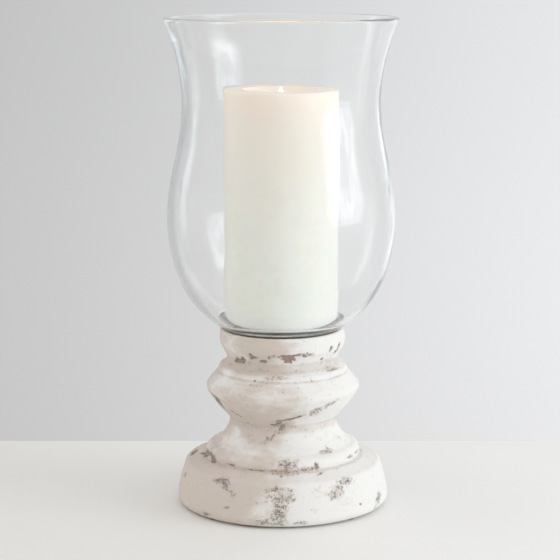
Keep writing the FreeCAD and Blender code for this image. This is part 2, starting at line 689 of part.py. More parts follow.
def switch_housing():
    """Hollow body of the slide switch, open towards the plate."""
    size_x, size_y, size_z = SWITCH_SIZE
    low, high = plate_top_z, plate_top_z + size_z
    body = centred_block(size_x, size_y, (low, high), 0, switch_y)
    inside_z = (low - OVERRUN, high - SWITCH_WALL)
    inside = centred_block(size_x - 2 * SWITCH_WALL, size_y - 2 * SWITCH_WALL, inside_z, 0, switch_y)
    return body.cut(inside)


def switch_wires():
    """Two insulated wires from the switch to the board."""
    low = plate_top_z + SWITCH_SIZE[2]
    wires = []
    for side in (-1, 1):
        x = side * WIRE_PITCH / 2
        route = [
            V(x, switch_y, low),
            V(x, switch_y, low + WIRE_STRAIGHT),
            V(x, WIRE_BOARD_Y, board_z - WIRE_STRAIGHT),
            V(x, WIRE_BOARD_Y, board_z),
        ]
        wire = bent_rod(route, WIRE_BEND_RADIUS, WIRE_RADIUS)
        core = disc(WIRE_CORE_RADIUS, board_z, board_top_z + LEAD_TAIL, x, WIRE_BOARD_Y)
        wires.append(wire.fuse(core))
    return Part.makeCompound(wires)


def switch_slider():
    """Knob of the switch, at its rest end, reaching down through the plate."""
    x = -SWITCH_TRAVEL / 2
    low = plate_top_z + SLIDER_GAP
    base = centred_block(SLIDER_BASE[0], SLIDER_BASE[1], (low, low + SLIDER_BASE[2]), x, switch_y)
    stem_z = (plate_z - PLATE_INSET / 2, low)
    stem = centred_block(SLIDER_STEM[0], SLIDER_STEM[1], stem_z, x, switch_y)
    return base.fuse(stem).removeSplitter()


def battery_door():
    """Round door with two bayonet lugs and a coin slot."""
    door = disc(door_radius, plate_z, door_top_z)
    low = door_top_z - DOOR_LUG_THICKNESS
    half = DOOR_LUG_ANGLE / 2
    for bearing in DOOR_LUG_BEARINGS:
        door = door.fuse(sector(lug_radius, low, door_top_z, bearing - half, bearing + half))
    length, width, depth = COIN_SLOT
    slot = centred_block(length, width, (plate_z - OVERRUN, plate_z + depth))
    return door.removeSplitter().cut(slot)


def door_leaf():
    """Contact disc on the door with an arched leaf that pushes up on the cells."""
    base_z = door_top_z
    reach = tube_bore - LEAF_INSET
    ring = disc(reach, base_z, base_z + SHEET_METAL)
    top = base_z + LEAF_RISE
    foot = V(LEAF_FOOT_INSET - reach, 0, base_z + SHEET_METAL)
    far_foot = V(reach - LEAF_FOOT_INSET, 0, base_z + SHEET_METAL)
    over = Part.Arc(foot, V(0, 0, top), far_foot).toShape()
    step = V(SHEET_METAL * LEAF_FOOT_SPREAD, 0, 0)
    under = Part.Arc(far_foot - step, V(0, 0, top - SHEET_METAL), foot + step).toShape()
    ends = [
        Part.LineSegment(far_foot, far_foot - step).toShape(),
        Part.LineSegment(foot + step, foot).toShape(),
    ]
    arch = Part.Face(Part.Wire([over, ends[0], under, ends[1]])).extrude(V(0, LEAF_WIDTH, 0))
    arch.translate(V(0, -LEAF_WIDTH / 2, 0))
    return ring.fuse(arch)


PIECES = {
    "pedestal_body": pedestal_body,
    "felt_feet": felt_feet,
    "glass_seat_pad": glass_seat_pad,
    "glass_hurricane": glass_hurricane,
    "candle_wax_shell": candle_wax_shell,
    "bottom_plate": bottom_plate,
    "battery_tube": battery_tube,
    "tube_screws": tube_screws,
    "battery_lower": lambda: battery(0),
    "battery_upper": lambda: battery(1),
    "positive_contact": positive_contact,
    "conductor_strip": conductor_strip,
    "circuit_board": circuit_board,
    "board_screws": board_screws,
    "timer_chip": timer_chip,
    "board_capacitor": board_capacitor,
    "led_post": led_post,
    "led_bulb": led_bulb,
    "led_leads": led_leads,
    "flame_lens": flame_lens,
    "switch_housing": switch_housing,
    "switch_wires": switch_wires,
    "switch_slider": switch_slider,
    "battery_door": battery_door,
    "door_leaf": door_leaf,
}


def main():
    """Build every piece and write one STEP file for each."""
    os.makedirs("parts", exist_ok=True)
    for name, make in PIECES.items():
        shape = make()
        if not shape.isValid() or not all(solid.isClosed() for solid in shape.Solids):
            raise ValueError(f"{name} is not a sound solid")
        shape.exportStep(f"parts/{name}.step")
        box = shape.optimalBoundingBox()
        heights = f"z {box.ZMin:.2f} to {box.ZMax:.2f}"
        print(f"{name:18s} {len(shape.Solids)} solid(s) {shape.Volume:10.1f} mm3  {heights}")


main()
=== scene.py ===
"""Looks of the hurricane lantern: limewashed pedestal, blown glass and pillar candle.

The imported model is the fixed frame. The pedestal, the glass and the wax get finer meshes that
stand for their nodes; every other node keeps its shape and gets a finish.
"""

from __future__ import annotations

import logging
import math
import random
from dataclasses import dataclass
from enum import Enum
from typing import Iterable, Sequence

import bpy
import numpy as np
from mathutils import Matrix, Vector

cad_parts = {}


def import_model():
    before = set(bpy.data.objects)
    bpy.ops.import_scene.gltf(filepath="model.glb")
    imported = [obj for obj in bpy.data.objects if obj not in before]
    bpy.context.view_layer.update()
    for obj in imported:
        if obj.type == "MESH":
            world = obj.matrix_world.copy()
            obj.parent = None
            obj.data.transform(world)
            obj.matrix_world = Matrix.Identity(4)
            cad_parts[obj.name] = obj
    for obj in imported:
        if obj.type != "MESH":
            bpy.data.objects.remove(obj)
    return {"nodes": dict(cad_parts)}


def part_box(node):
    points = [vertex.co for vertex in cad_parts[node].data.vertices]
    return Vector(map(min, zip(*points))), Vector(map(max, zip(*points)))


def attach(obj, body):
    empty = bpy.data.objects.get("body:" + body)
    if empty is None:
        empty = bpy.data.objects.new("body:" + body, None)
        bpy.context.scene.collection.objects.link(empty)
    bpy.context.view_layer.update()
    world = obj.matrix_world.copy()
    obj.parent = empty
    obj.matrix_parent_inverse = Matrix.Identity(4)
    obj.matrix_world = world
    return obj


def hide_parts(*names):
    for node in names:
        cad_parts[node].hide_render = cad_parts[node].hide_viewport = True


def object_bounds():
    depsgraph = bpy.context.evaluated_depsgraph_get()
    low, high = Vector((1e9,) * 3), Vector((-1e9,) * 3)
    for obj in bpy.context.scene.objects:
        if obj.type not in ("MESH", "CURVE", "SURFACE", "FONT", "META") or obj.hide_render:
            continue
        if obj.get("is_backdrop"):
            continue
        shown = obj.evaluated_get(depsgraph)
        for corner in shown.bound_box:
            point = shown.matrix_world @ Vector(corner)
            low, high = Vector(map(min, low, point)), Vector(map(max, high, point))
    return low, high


LOG = logging.getLogger("lantern")
MM = 0.001
WIRE_RADIUS = 0.6 * MM
HOLLOWS = ((9, 2.2), (3, 0.30))  # rings to either side, and the depth in mm that counts as full
OUTSIDE = -9.0  # reach of a point that is far from a patch

Colour = tuple[float, float, float]


# ---------------------------------------------------------------------------- shader kit
class MixMode(Enum):
    """How a colour mix lays one colour over another."""

    PLAIN = "MIX"
    ADD = "ADD"


class Number:
    """A number socket of a material, with arithmetic that adds Math nodes."""

    def __init__(self, graph: "Graph", socket: bpy.types.NodeSocket) -> None:
        """Wrap a socket of a graph."""
        self.graph = graph
        self.socket = socket

    def math(self, operation: str, *others: "Number | float") -> "Number":
        """Add a Math node.

        Args:
            operation: the Math node's operation.
            others: its second and third values.

        Returns:
            The node's result.
        """
        values = {index: value for index, value in enumerate((self, *others))}
        return self.graph.number("ShaderNodeMath", {"operation": operation}, values)

    def __add__(self, other: "Number | float") -> "Number":
        """Sum."""
        return self.math("ADD", other)

    __radd__ = __add__

    def __sub__(self, other: "Number | float") -> "Number":
        """Difference."""
        return self.math("SUBTRACT", other)

    def __rsub__(self, other: float) -> "Number":
        """Difference from a plain number."""
        return (self * -1.0) + other

    def __mul__(self, other: "Number | float") -> "Number":
        """Product."""
        return self.math("MULTIPLY", other)

    __rmul__ = __mul__

    def __truediv__(self, other: "Number | float") -> "Number":
        """Quotient."""
        return self.math("DIVIDE", other)

    def __pow__(self, other: float) -> "Number":
        """Power."""
        return self.math("POWER", other)

    def at_least(self, other: "Number | float") -> "Number":
        """The larger of two."""
        return self.math("MAXIMUM", other)

    def step(self, low: float, high: float) -> "Number":
        """Smooth step from 0 at low to 1 at high."""
        return self.graph.number(
            "ShaderNodeMapRange",
            {"interpolation_type": "SMOOTHSTEP"},
            {"Value": self, "From Min": low, "From Max": high, "To Min": 0.0, "To Max": 1.0},
        )


class Graph:
    """The node tree of one material."""

    def __init__(self, name: str) -> None:
        """Start an empty material."""
        self.material = bpy.data.materials.new(name)
        self.material.use_nodes = True
        self.tree = self.material.node_tree
        self.tree.nodes.clear()

    def node(self, kind: str, settings: dict | None = None, inputs: dict | None = None) -> bpy.types.Node:
        """Add a node.

        Args:
            kind: the node's type.
            settings: its properties, set first. "stops" gives a colour ramp's (place, colour) pairs.
            inputs: socket name or index to a value, a socket or a Number.

        Returns:
            The node.
        """
        node = self.tree.nodes.new(kind)
        for key, value in (settings or {}).items():
            if key == "stops":
                self._set_stops(node.color_ramp, value)
            else:
                setattr(node, key, value)
        for key, value in (inputs or {}).items():
            socket = node.inputs[key]
            if isinstance(value, Number):
                value = value.socket
            if isinstance(value, bpy.types.NodeSocket):
                self.tree.links.new(value, socket)
            elif isinstance(value, (tuple, list)) and len(value) == 3 and socket.type == "RGBA":
                socket.default_value = (*value, 1.0)
            else:
                socket.default_value = value
        return node

    @staticmethod
    def _set_stops(ramp: bpy.types.ColorRamp, stops: Sequence[tuple[float, Colour]]) -> None:
        """Give a colour ramp its stops."""
        while len(ramp.elements) < len(stops):
            ramp.elements.new(1.0)
        for element, (place, colour) in zip(ramp.elements, stops):
            element.position = place
            element.color = (*colour, 1.0)

    def number(self, kind: str, settings: dict | None = None, inputs: dict | None = None) -> Number:
        """Add a node and wrap its first output."""
        return Number(self, self.node(kind, settings, inputs).outputs[0])

    def mix(
        self,
        factor: "Number | float",
        first: "bpy.types.NodeSocket | Colour",
        second: "bpy.types.NodeSocket | Colour",
        mode: MixMode = MixMode.PLAIN,
    ) -> bpy.types.NodeSocket:
        """Lay the second colour over the first."""
        settings = {"data_type": "RGBA", "blend_type": mode.value}
        node = self.node("ShaderNodeMix", settings, {"Factor": factor})
        for index, colour in ((6, first), (7, second)):
            if isinstance(colour, bpy.types.NodeSocket):
                self.tree.links.new(colour, node.inputs[index])
            else:
                node.inputs[index].default_value = (*colour, 1.0)
        return node.outputs[2]

    def place(self, scale: tuple[float, float, float] = (1.0, 1.0, 1.0)) -> bpy.types.NodeSocket:
        """Object coordinates, stretched by a scale."""
        coordinates = self.node("ShaderNodeTexCoord").outputs["Object"]
        if scale == (1.0, 1.0, 1.0):
            return coordinates
        return self.node("ShaderNodeMapping", None, {"Vector": coordinates, "Scale": scale}).outputs[0]

    def height(self) -> Number:
        """Height above the table, in metres."""
        return Number(self, self.node("ShaderNodeSeparateXYZ", None, {0: self.place()}).outputs[2])

    def radius(self) -> Number:
        """Distance from the lantern's axis, in metres."""
        flat = self.node(
            "ShaderNodeVectorMath", {"operation": "MULTIPLY"}, {0: self.place(), 1: (1.0, 1.0, 0.0)}
        )
        length = self.node("ShaderNodeVectorMath", {"operation": "LENGTH"}, {0: flat.outputs[0]})
        return Number(self, length.outputs["Value"])

    def noise(
        self,
        scale: float,
        detail: float = 2.0,
        roughness: float = 0.5,
        stretch: tuple[float, float, float] = (1.0, 1.0, 1.0),
        distortion: float = 0.0,
    ) -> Number:
        """Noise in object coordinates; the scale is in features per metre."""
        return self.number(
            "ShaderNodeTexNoise",
            {"noise_dimensions": "3D"},
            {
                "Vector": self.place(stretch),
                "Scale": scale,
                "Detail": detail,
                "Roughness": roughness,
                "Distortion": distortion,
            },
        )

    def cells(self, scale: float, randomness: float = 1.0) -> Number:
        """Distance to the nearest point of a scattered set."""
        return self.number(
            "ShaderNodeTexVoronoi", None, {"Vector": self.place(), "Scale": scale, "Randomness": randomness}
        )

    def attribute(self, name: str) -> Number:
        """A number stored on the mesh's points."""
        node = self.node("ShaderNodeAttribute", {"attribute_name": name})
        return Number(self, node.outputs["Fac"])

    def bump(self, height: Number, strength: float, depth: float) -> bpy.types.NodeSocket:
        """Turn a height into a normal; the depth is in metres."""
        inputs = {"Height": height, "Strength": strength, "Distance": depth}
        return self.node("ShaderNodeBump", None, inputs).outputs[0]

    def principled(self, inputs: dict) -> bpy.types.Node:
        """The one surface shader that the finishes use."""
        return self.node("ShaderNodeBsdfPrincipled", None, inputs)

    def finish(self, surface: bpy.types.NodeSocket) -> bpy.types.Material:
        """Connect the surface and return the material."""
        self.node("ShaderNodeOutputMaterial", None, {"Surface": surface})
        return self.material

    def surfaced(self, inputs: dict) -> bpy.types.Material:
        """Finish with the one surface shader alone."""
        return self.finish(self.principled(inputs).outputs[0])


# ---------------------------------------------------------------------------- finishes
@dataclass(frozen=True)
class LimewashedTerracotta:
    """Chalky limewash over fired clay, tinted where it is thin and worn through in chips, with painted shade:
    darker in the creases and warmer and darker on the left side.
    """

    wash: Colour = (0.835, 0.828, 0.812)
    # painted shade: the warm and rosy washes are darker washes laid on the left side, away from the key
    # light, and also on random warm patches
    warm_wash_and_shade: Colour = (0.665, 0.600, 0.535)
    rosy_wash_and_shade: Colour = (0.675, 0.595, 0.555)
    # thin_wash_and_crease_shade is also the painted shade laid into the creases
    thin_wash_and_crease_shade: Colour = (0.59, 0.52, 0.46)
    clay: Colour = (0.255, 0.200, 0.165)
    grey_clay: Colour = (0.40, 0.35, 0.31)
    red_clay: Colour = (0.375, 0.255, 0.225)

    def build(self) -> bpy.types.Material:
        """Build the material."""
        g = Graph("limewashed_terracotta")
        bare, speckle, red, crease, tint = (
            g.attribute(name) for name in ("bare", "speckle", "red", "crease", "tint")
        )
        fine = g.noise(430.0, 3.0, 0.65)
        grit = g.noise(1250.0, 2.0, 0.6)
        broad = g.noise(24.0, 3.0, 0.55, distortion=0.6)
        brushed = g.noise(75.0, 4.0, 0.62, stretch=(1.0, 1.0, 2.2), distortion=0.5)
        flakes = g.cells(300.0)

        edge = bare + (fine - 0.5) * 0.60 + (grit - 0.5) * 0.40
        solid = edge.step(0.45, 0.57)
        spots = (fine * 0.45 + grit * 0.55 + bare * 0.13).step(0.600, 0.640) * bare.step(0.20, 0.5)
        pits = (grit * 0.5 + fine * 0.5 + (brushed - 0.5) * 0.30 + crease * 0.05).step(0.655, 0.685)
        chip = (solid * (1.0 - speckle) + spots * speckle).at_least(pits * 0.8)
        halo = edge.step(0.16, 0.50) * (1.0 - chip)

        # painted shade: the tint is highest on the left side and rises a little in the creases, so the darker
        # warm washes gather there; the noise terms vary them at random
        warm_and_shade = (tint + (broad - 0.5) * 1.1 + (brushed - 0.5) * 0.9 + crease * 0.22).step(0.30, 0.86)
        rosy = g.noise(38.0, 2.0, 0.5).step(0.42, 0.62)
        wash = g.mix(warm_and_shade, self.wash, g.mix(rosy, self.warm_wash_and_shade, self.rosy_wash_and_shade))
        # painted shade: the creases of the outer face are darkened with the thin-wash colour; the
        # brush-stroke term is real thin wash
        wash = g.mix((crease * 0.8 + (brushed - 0.5) * 0.9).step(0.30, 0.95) * 0.55, wash, self.thin_wash_and_crease_shade)
        wash = g.mix(halo * 0.42, wash, self.thin_wash_and_crease_shade)
        wash = g.mix((fine * 0.6 + grit * 0.4).step(0.50, 0.72) * 0.22, wash, self.thin_wash_and_crease_shade)
        tone = g.noise(210.0, 3.0, 0.6)
        clay = g.mix(tone.step(0.36, 0.60), self.clay, self.grey_clay)
        clay = g.mix(red * (tone * 0.5 + fine * 0.5).step(0.36, 0.56), clay, self.red_clay)
        colour = g.mix(chip * (grit * 0.5 + tone * 0.5).step(0.28, 0.50), wash, clay)

        chalk = g.noise(850.0, 4.0, 0.7)
        relief = brushed * 0.75 + chalk * 0.20 + fine * 0.28 - flakes * 0.10
        normal = g.bump(relief - chip * 0.8, 0.75, 0.0009)
        rough = g.noise(300.0, 2.0) * 0.12 + 0.80
        return g.surfaced(
            {
                "Base Color": colour,
                "Roughness": rough + chip * 0.08,
                "Normal": normal,
                "Specular IOR Level": 0.25,
            }
        )


@dataclass(frozen=True)
class BlownGlass:
    """Clear glass that lets lamp light straight through, and trapped light out after some bounces through a
    grey tint that paints a grey shade along its edges.
    """

    tint: Colour = (0.996, 0.999, 0.997)
    passed: Colour = (0.975, 0.982, 0.980)
    # painted shade: the grey that rays take when let out after some bounces, which draws a grey contour at
    # the glass's edges
    edge: Colour = (0.83, 0.845, 0.84)
    ior: float = 1.45
    bounces: float = 4.5

    def build(self) -> bpy.types.Material:
        """Build the material."""
        g = Graph("clear_glass")
        glass = g.principled(
            {"Base Color": self.tint, "Roughness": 0.0, "IOR": self.ior, "Transmission Weight": 1.0}
        )
        path = g.node("ShaderNodeLightPath")
        shadow, diffuse = (Number(g, path.outputs[f"Is {kind} Ray"]) for kind in ("Shadow", "Diffuse"))
        straight = shadow.at_least(diffuse)
        trapped = Number(g, path.outputs["Ray Depth"]).step(self.bounces - 0.1, self.bounces + 0.1)
        surface = glass.outputs[0]
        for share, colour in ((trapped, self.edge), (straight, self.passed)):
            clear = g.node("ShaderNodeBsdfTransparent", None, {"Color": colour})
            surface = g.node(
                "ShaderNodeMixShader", None, {0: share, 1: surface, 2: clear.outputs[0]}
            ).outputs[0]
        return g.finish(surface)


@dataclass(frozen=True)
class IvoryWax:
    """Poured ivory wax, softly translucent, with painted glow from the light in its dish: emission on the wax
    and a pinker colour towards the top.
    """

    body: Colour = (0.905, 0.878, 0.828)
    cloudy: Colour = (0.855, 0.83, 0.76)
    rosy: Colour = (0.855, 0.785, 0.725)
    # painted glow: the pinker colour laid on the wax towards its top
    glow: Colour = (1.0, 0.56, 0.30)
    ember: Colour = (1.0, 0.68, 0.34)
    top: float = 0.2767
    glow_reach: float = 0.120
    dish_radius: float = 0.0255

    def build(self) -> bpy.types.Material:
        """Build the material."""
        g = Graph("ivory_wax")
        cloud = g.noise(24.0, 3.0, 0.5, stretch=(1.0, 1.0, 0.6))
        mottle = g.noise(210.0, 3.0, 0.6)
        colour = g.mix((cloud * 0.7 + mottle * 0.3).step(0.40, 0.66), self.body, self.cloudy)

        below = (g.height() * -1.0) + self.top
        down = (1.0 - below / self.glow_reach).at_least(0.0)
        # painted glow: the wax turns pinker towards its top, as if lit from the dish
        colour = g.mix(down * 0.75, colour, self.rosy)
        wall_glow = g.mix((down ** 1.5) * 0.07, (0.0, 0.0, 0.0), self.glow)
        in_dish = 1.0 - (g.radius() / self.dish_radius).step(0.30, 1.06)
        dish_glow = g.mix(in_dish * below.step(0.0, 0.0030) * 0.36, (0.0, 0.0, 0.0), self.ember)
        light = g.mix(1.0, wall_glow, dish_glow, MixMode.ADD)

        drag = g.noise(60.0, 3.0, 0.55, stretch=(1.0, 1.0, 0.18))
        normal = g.bump(mottle * 0.4 + drag * 0.6, 0.22, 0.0004)
        return g.surfaced(
            {
                "Base Color": colour,
                "Roughness": cloud * 0.10 + 0.40,
                "Normal": normal,
                "Subsurface Weight": 0.65,
                "Subsurface Radius": (1.0, 0.62, 0.38),
                "Subsurface Scale": 0.012,
                "Specular IOR Level": 0.22,
                "Emission Color": light,
                "Emission Strength": 1.0,
            }
        )


@dataclass(frozen=True)
class MouldedPlastic:
    """Moulded plastic with a fine spark texture."""

    name: str
    colour: Colour
    roughness: float = 0.45
    spark: float = 0.25

    def build(self) -> bpy.types.Material:
        """Build the material."""
        g = Graph(self.name)
        spark = g.noise(2600.0, 2.0, 0.6)
        flow = g.noise(45.0, 2.0, 0.5)
        darker = tuple(channel * 0.86 for channel in self.colour)
        return g.surfaced(
            {
                "Base Color": g.mix(flow.step(0.38, 0.64), self.colour, darker),
                "Roughness": spark * 0.18 + self.roughness - 0.09,
                "Normal": g.bump(spark, self.spark, 0.00012),
            }
        )


@dataclass(frozen=True)
class SheetMetal:
    """Bright or plated metal with fine drawn lines and finger-dull patches."""

    name: str
    colour: Colour
    roughness: float = 0.25
    lines: tuple[float, float, float] = (1.0, 1.0, 0.08)

    def build(self) -> bpy.types.Material:
        """Build the material."""
        g = Graph(self.name)
        drawn = g.noise(1900.0, 2.0, 0.55, stretch=self.lines)
        dull = g.noise(130.0, 3.0, 0.6)
        tarnished = tuple(channel * 0.72 for channel in self.colour)
        return g.surfaced(
            {
                "Base Color": g.mix(dull.step(0.48, 0.75) * 0.7, self.colour, tarnished),
                "Metallic": 1.0,
                "Roughness": dull * 0.22 + drawn * 0.10 + self.roughness - 0.12,
                "Normal": g.bump(drawn, 0.18, 0.00008),
            }
        )


@dataclass(frozen=True)
class WoolFelt:
    """Pressed wool felt, flecked and matted."""

    name: str = "brown_felt"
    dark: Colour = (0.060, 0.048, 0.032)
    light: Colour = (0.165, 0.138, 0.098)

    def build(self) -> bpy.types.Material:
        """Build the material."""
        g = Graph(self.name)
        fibres = g.noise(1500.0, 4.0, 0.75, distortion=2.2)
        mats = g.noise(260.0, 3.0, 0.6)
        return g.surfaced(
            {
                "Base Color": g.mix((fibres * 0.6 + mats * 0.4).step(0.36, 0.68), self.dark, self.light),
                "Roughness": fibres * 0.05 + 0.93,
                "Normal": g.bump(fibres + mats * 0.5, 0.8, 0.0004),
                "Sheen Weight": 0.35,
                "Sheen Roughness": 0.5,
            }
        )


@dataclass(frozen=True)
class CellJacket:
    """Dark cell jacket with a plain metal-coloured band at the positive end and bare steel ends."""

    jacket: Colour = (0.028, 0.036, 0.045)
    band: Colour = (0.56, 0.34, 0.16)
    steel: Colour = (0.72, 0.72, 0.73)
    low: float = 0.1337
    length: float = 0.050
    radius: float = 0.0131

    def build(self) -> bpy.types.Material:
        """Build the material."""
        g = Graph("cell_jacket")
        share = ((g.height() - self.low) / self.length).math("FRACT")
        band = share.step(0.70, 0.705)
        end = 1.0 - (g.radius() - (self.radius - 0.0006)).step(0.0, 0.0001)
        scuff = g.noise(420.0, 3.0, 0.6)
        printed = g.mix(band, self.jacket, self.band)
        worn = g.mix(scuff.step(0.62, 0.72) * 0.25, printed, self.steel)
        return g.surfaced(
            {
                "Base Color": g.mix(end, worn, self.steel),
                "Metallic": end.at_least(band * 0.6),
                "Roughness": scuff * 0.2 + 0.24,
                "Coat Weight": (1.0 - end) * 0.4,
                "Normal": g.bump(scuff, 0.1, 0.0001),
            }
        )


@dataclass(frozen=True)
class BoardLaminate:
    """Green solder mask with faint copper tracks under it."""

    mask: Colour = (0.010, 0.085, 0.032)
    track: Colour = (0.022, 0.165, 0.060)

    def build(self) -> bpy.types.Material:
        """Build the material."""
        g = Graph("board_green")
        rings = (g.radius() * 520.0).math("FRACT").step(0.30, 0.42)
        broken = g.noise(180.0, 0.0).step(0.50, 0.53)
        weave = g.noise(2400.0, 1.0)
        return g.surfaced(
            {
                "Base Color": g.mix(rings * broken, self.mask, self.track),
                "Roughness": weave * 0.1 + 0.22,
                "Normal": g.bump(rings * broken * 0.6 + weave * 0.3, 0.3, 0.00005),
                "Coat Weight": 0.3,
            }
        )


@dataclass(frozen=True)
class LitResin:
    """Warm resin that glows, brightest towards its tip."""

    name: str
    colour: Colour
    glow: Colour
    low: float
    high: float
    dim: float = 0.5
    bright: float = 1.0
    strength: float = 4.0

    def build(self) -> bpy.types.Material:
        """Build the material."""
        g = Graph(self.name)
        up = ((g.height() - self.low) / (self.high - self.low)).step(0.0, 1.0)
        level = up * (self.bright - self.dim) + self.dim
        frost = g.noise(1400.0, 2.0)
        light = g.mix(level, (0.0, 0.0, 0.0), self.glow)
        return g.surfaced(
            {
                "Base Color": self.colour,
                "Roughness": frost * 0.15 + 0.22,
                "Normal": g.bump(frost, 0.2, 0.00008),
                "Emission Color": light,
                "Emission Strength": self.strength,
            }
        )


# ---------------------------------------------------------------------------- mesh kit
class Lattice:
    """Smooth gradient noise on points, the same every run."""

    def __init__(self, seed: int) -> None:
        """Draw the lattice's gradients."""
        draw = np.random.default_rng(seed)
        self.order = np.tile(draw.permutation(256), 3)
        gradients = draw.normal(size=(256, 3))
        self.gradients = gradients / np.linalg.norm(gradients, axis=1, keepdims=True)

    def at(self, points: np.ndarray, size: float) -> np.ndarray:
        """Noise from about -1 to 1.

        Args:
            points: positions, one row each.
            size: width of a feature, in the points' unit.

        Returns:
            One value for each point.
        """
        scaled = points / size + 37.31
        cell = np.floor(scaled).astype(int)
        inside = scaled - cell
        ease = inside ** 3 * (inside * (inside * 6 - 15) + 10)
        total = np.zeros(len(points))
        for corner in np.ndindex(2, 2, 2):
            offset = np.array(corner)
            key = (cell + offset) % 256
            index = self.order[self.order[self.order[key[:, 0]] + key[:, 1]] + key[:, 2]]
            reach = np.einsum("ij,ij->i", self.gradients[index], inside - offset)
            weight = np.prod(np.where(offset, ease, 1 - ease), axis=1)
            total += weight * reach
        return total * 1.6

    def layered(self, points: np.ndarray, size: float, layers: int) -> np.ndarray:
        """Noise with finer layers of half the size and strength."""
        return sum(self.at(points, size / 2 ** layer) / 2 ** layer for layer in range(layers))


class Outline:
    """Points of a turned piece's outline, as radius and height in mm."""

    def __init__(self, radius: float, height: float, step: float) -> None:
        """Start at a point. The step is the spacing of the points that follow."""
        self.points = [(radius, height)]
        self.step = step

    def _count(self, length: float) -> int:
        """Number of spans along a length."""
        return max(1, math.ceil(length / self.step))

    def line(self, radius: float, height: float) -> None:
        """Straight to a point."""
        start = self.points[-1]
        count = self._count(math.dist(start, (radius, height)))
        for index in range(1, count + 1):
            share = index / count
            self.points.append(
                (start[0] + (radius - start[0]) * share, start[1] + (height - start[1]) * share)
            )

    def bow(self, radius: float, height: float, sag: float) -> None:
        """Arc to a point. A positive sag bulges to the right of the way it is drawn."""
        start = np.array(self.points[-1])
        end = np.array((radius, height))
        run = end - start
        chord = float(np.linalg.norm(run))
        side = np.array((run[1], -run[0])) / chord
        curve_radius = (chord ** 2 / 4 + sag ** 2) / (2 * abs(sag))
        centre = (start + end) / 2 + side * (sag - math.copysign(curve_radius, sag))
        first = math.atan2(*(start - centre)[::-1])
        last = math.atan2(*(end - centre)[::-1])
        turn = (last - first + math.pi) % (2 * math.pi) - math.pi
        count = self._count(abs(turn) * curve_radius)
        for index in range(1, count + 1):
            angle = first + turn * index / count
            self.points.append(
                (centre[0] + curve_radius * math.cos(angle), centre[1] + curve_radius * math.sin(angle))
            )

    def curve(self, stations: Sequence[tuple[float, float]]) -> None:
        """Natural cubic curve on through the stations."""
        through = np.array([self.points[-1], *stations])
        knots = np.concatenate(([0.0], np.cumsum(np.linalg.norm(np.diff(through, axis=0), axis=1))))
        spans = np.diff(knots)
        size = len(knots)
        matrix = np.eye(size)
        right = np.zeros((size, 2))
        for row in range(1, size - 1):
            matrix[row, row - 1 : row + 2] = (spans[row - 1], 2 * (spans[row - 1] + spans[row]), spans[row])
            slope = np.diff(through[row - 1 : row + 2], axis=0) / spans[row - 1 : row + 1, None]
            right[row] = 6 * (slope[1] - slope[0])
        bend = np.linalg.solve(matrix, right)
        for place in np.linspace(0, knots[-1], self._count(knots[-1]) + 1)[1:]:
            span = min(int(np.searchsorted(knots, place, side="right")) - 1, size - 2)
            before, after, width = place - knots[span], knots[span + 1] - place, spans[span]
            point = (bend[span] * after ** 3 + bend[span + 1] * before ** 3) / (6 * width)
            point = point + (through[span] / width - bend[span] * width / 6) * after
            point = point + (through[span + 1] / width - bend[span + 1] * width / 6) * before
            self.points.append((float(point[0]), float(point[1])))

    def trace(self, strokes: Sequence[tuple[float, float, float]]) -> None:
        """Follow strokes of radius, height and sag; a sag of 0 is straight."""
        for radius, height, sag in strokes:
            if sag:
                self.bow(radius, height, sag)
            else:
                self.line(radius, height)

    def softened(self, passes: int, low: float, high: float) -> np.ndarray:
        """The points, eased round their corners between two heights."""
        points = np.array(self.points)
        for _ in range(passes):
            eased = points.copy()
            eased[1:-1] = points[1:-1] * 0.5 + (points[:-2] + points[2:]) * 0.25
            held = (points[:, 1] < low) | (points[:, 1] > high) | (points[:, 0] < 1e-6)
            points = np.where(held[:, None], points, eased)
        return points


def offset_inwards(points: np.ndarray, distance: np.ndarray | float) -> np.ndarray:
    """Move an upward-drawn outline to its left by a distance, along its normals."""
    along = np.gradient(points, axis=0)
    along /= np.linalg.norm(along, axis=1, keepdims=True)
    normal = np.stack((-along[:, 1], along[:, 0]), axis=1)
    return points + normal * np.reshape(distance, (-1, 1))


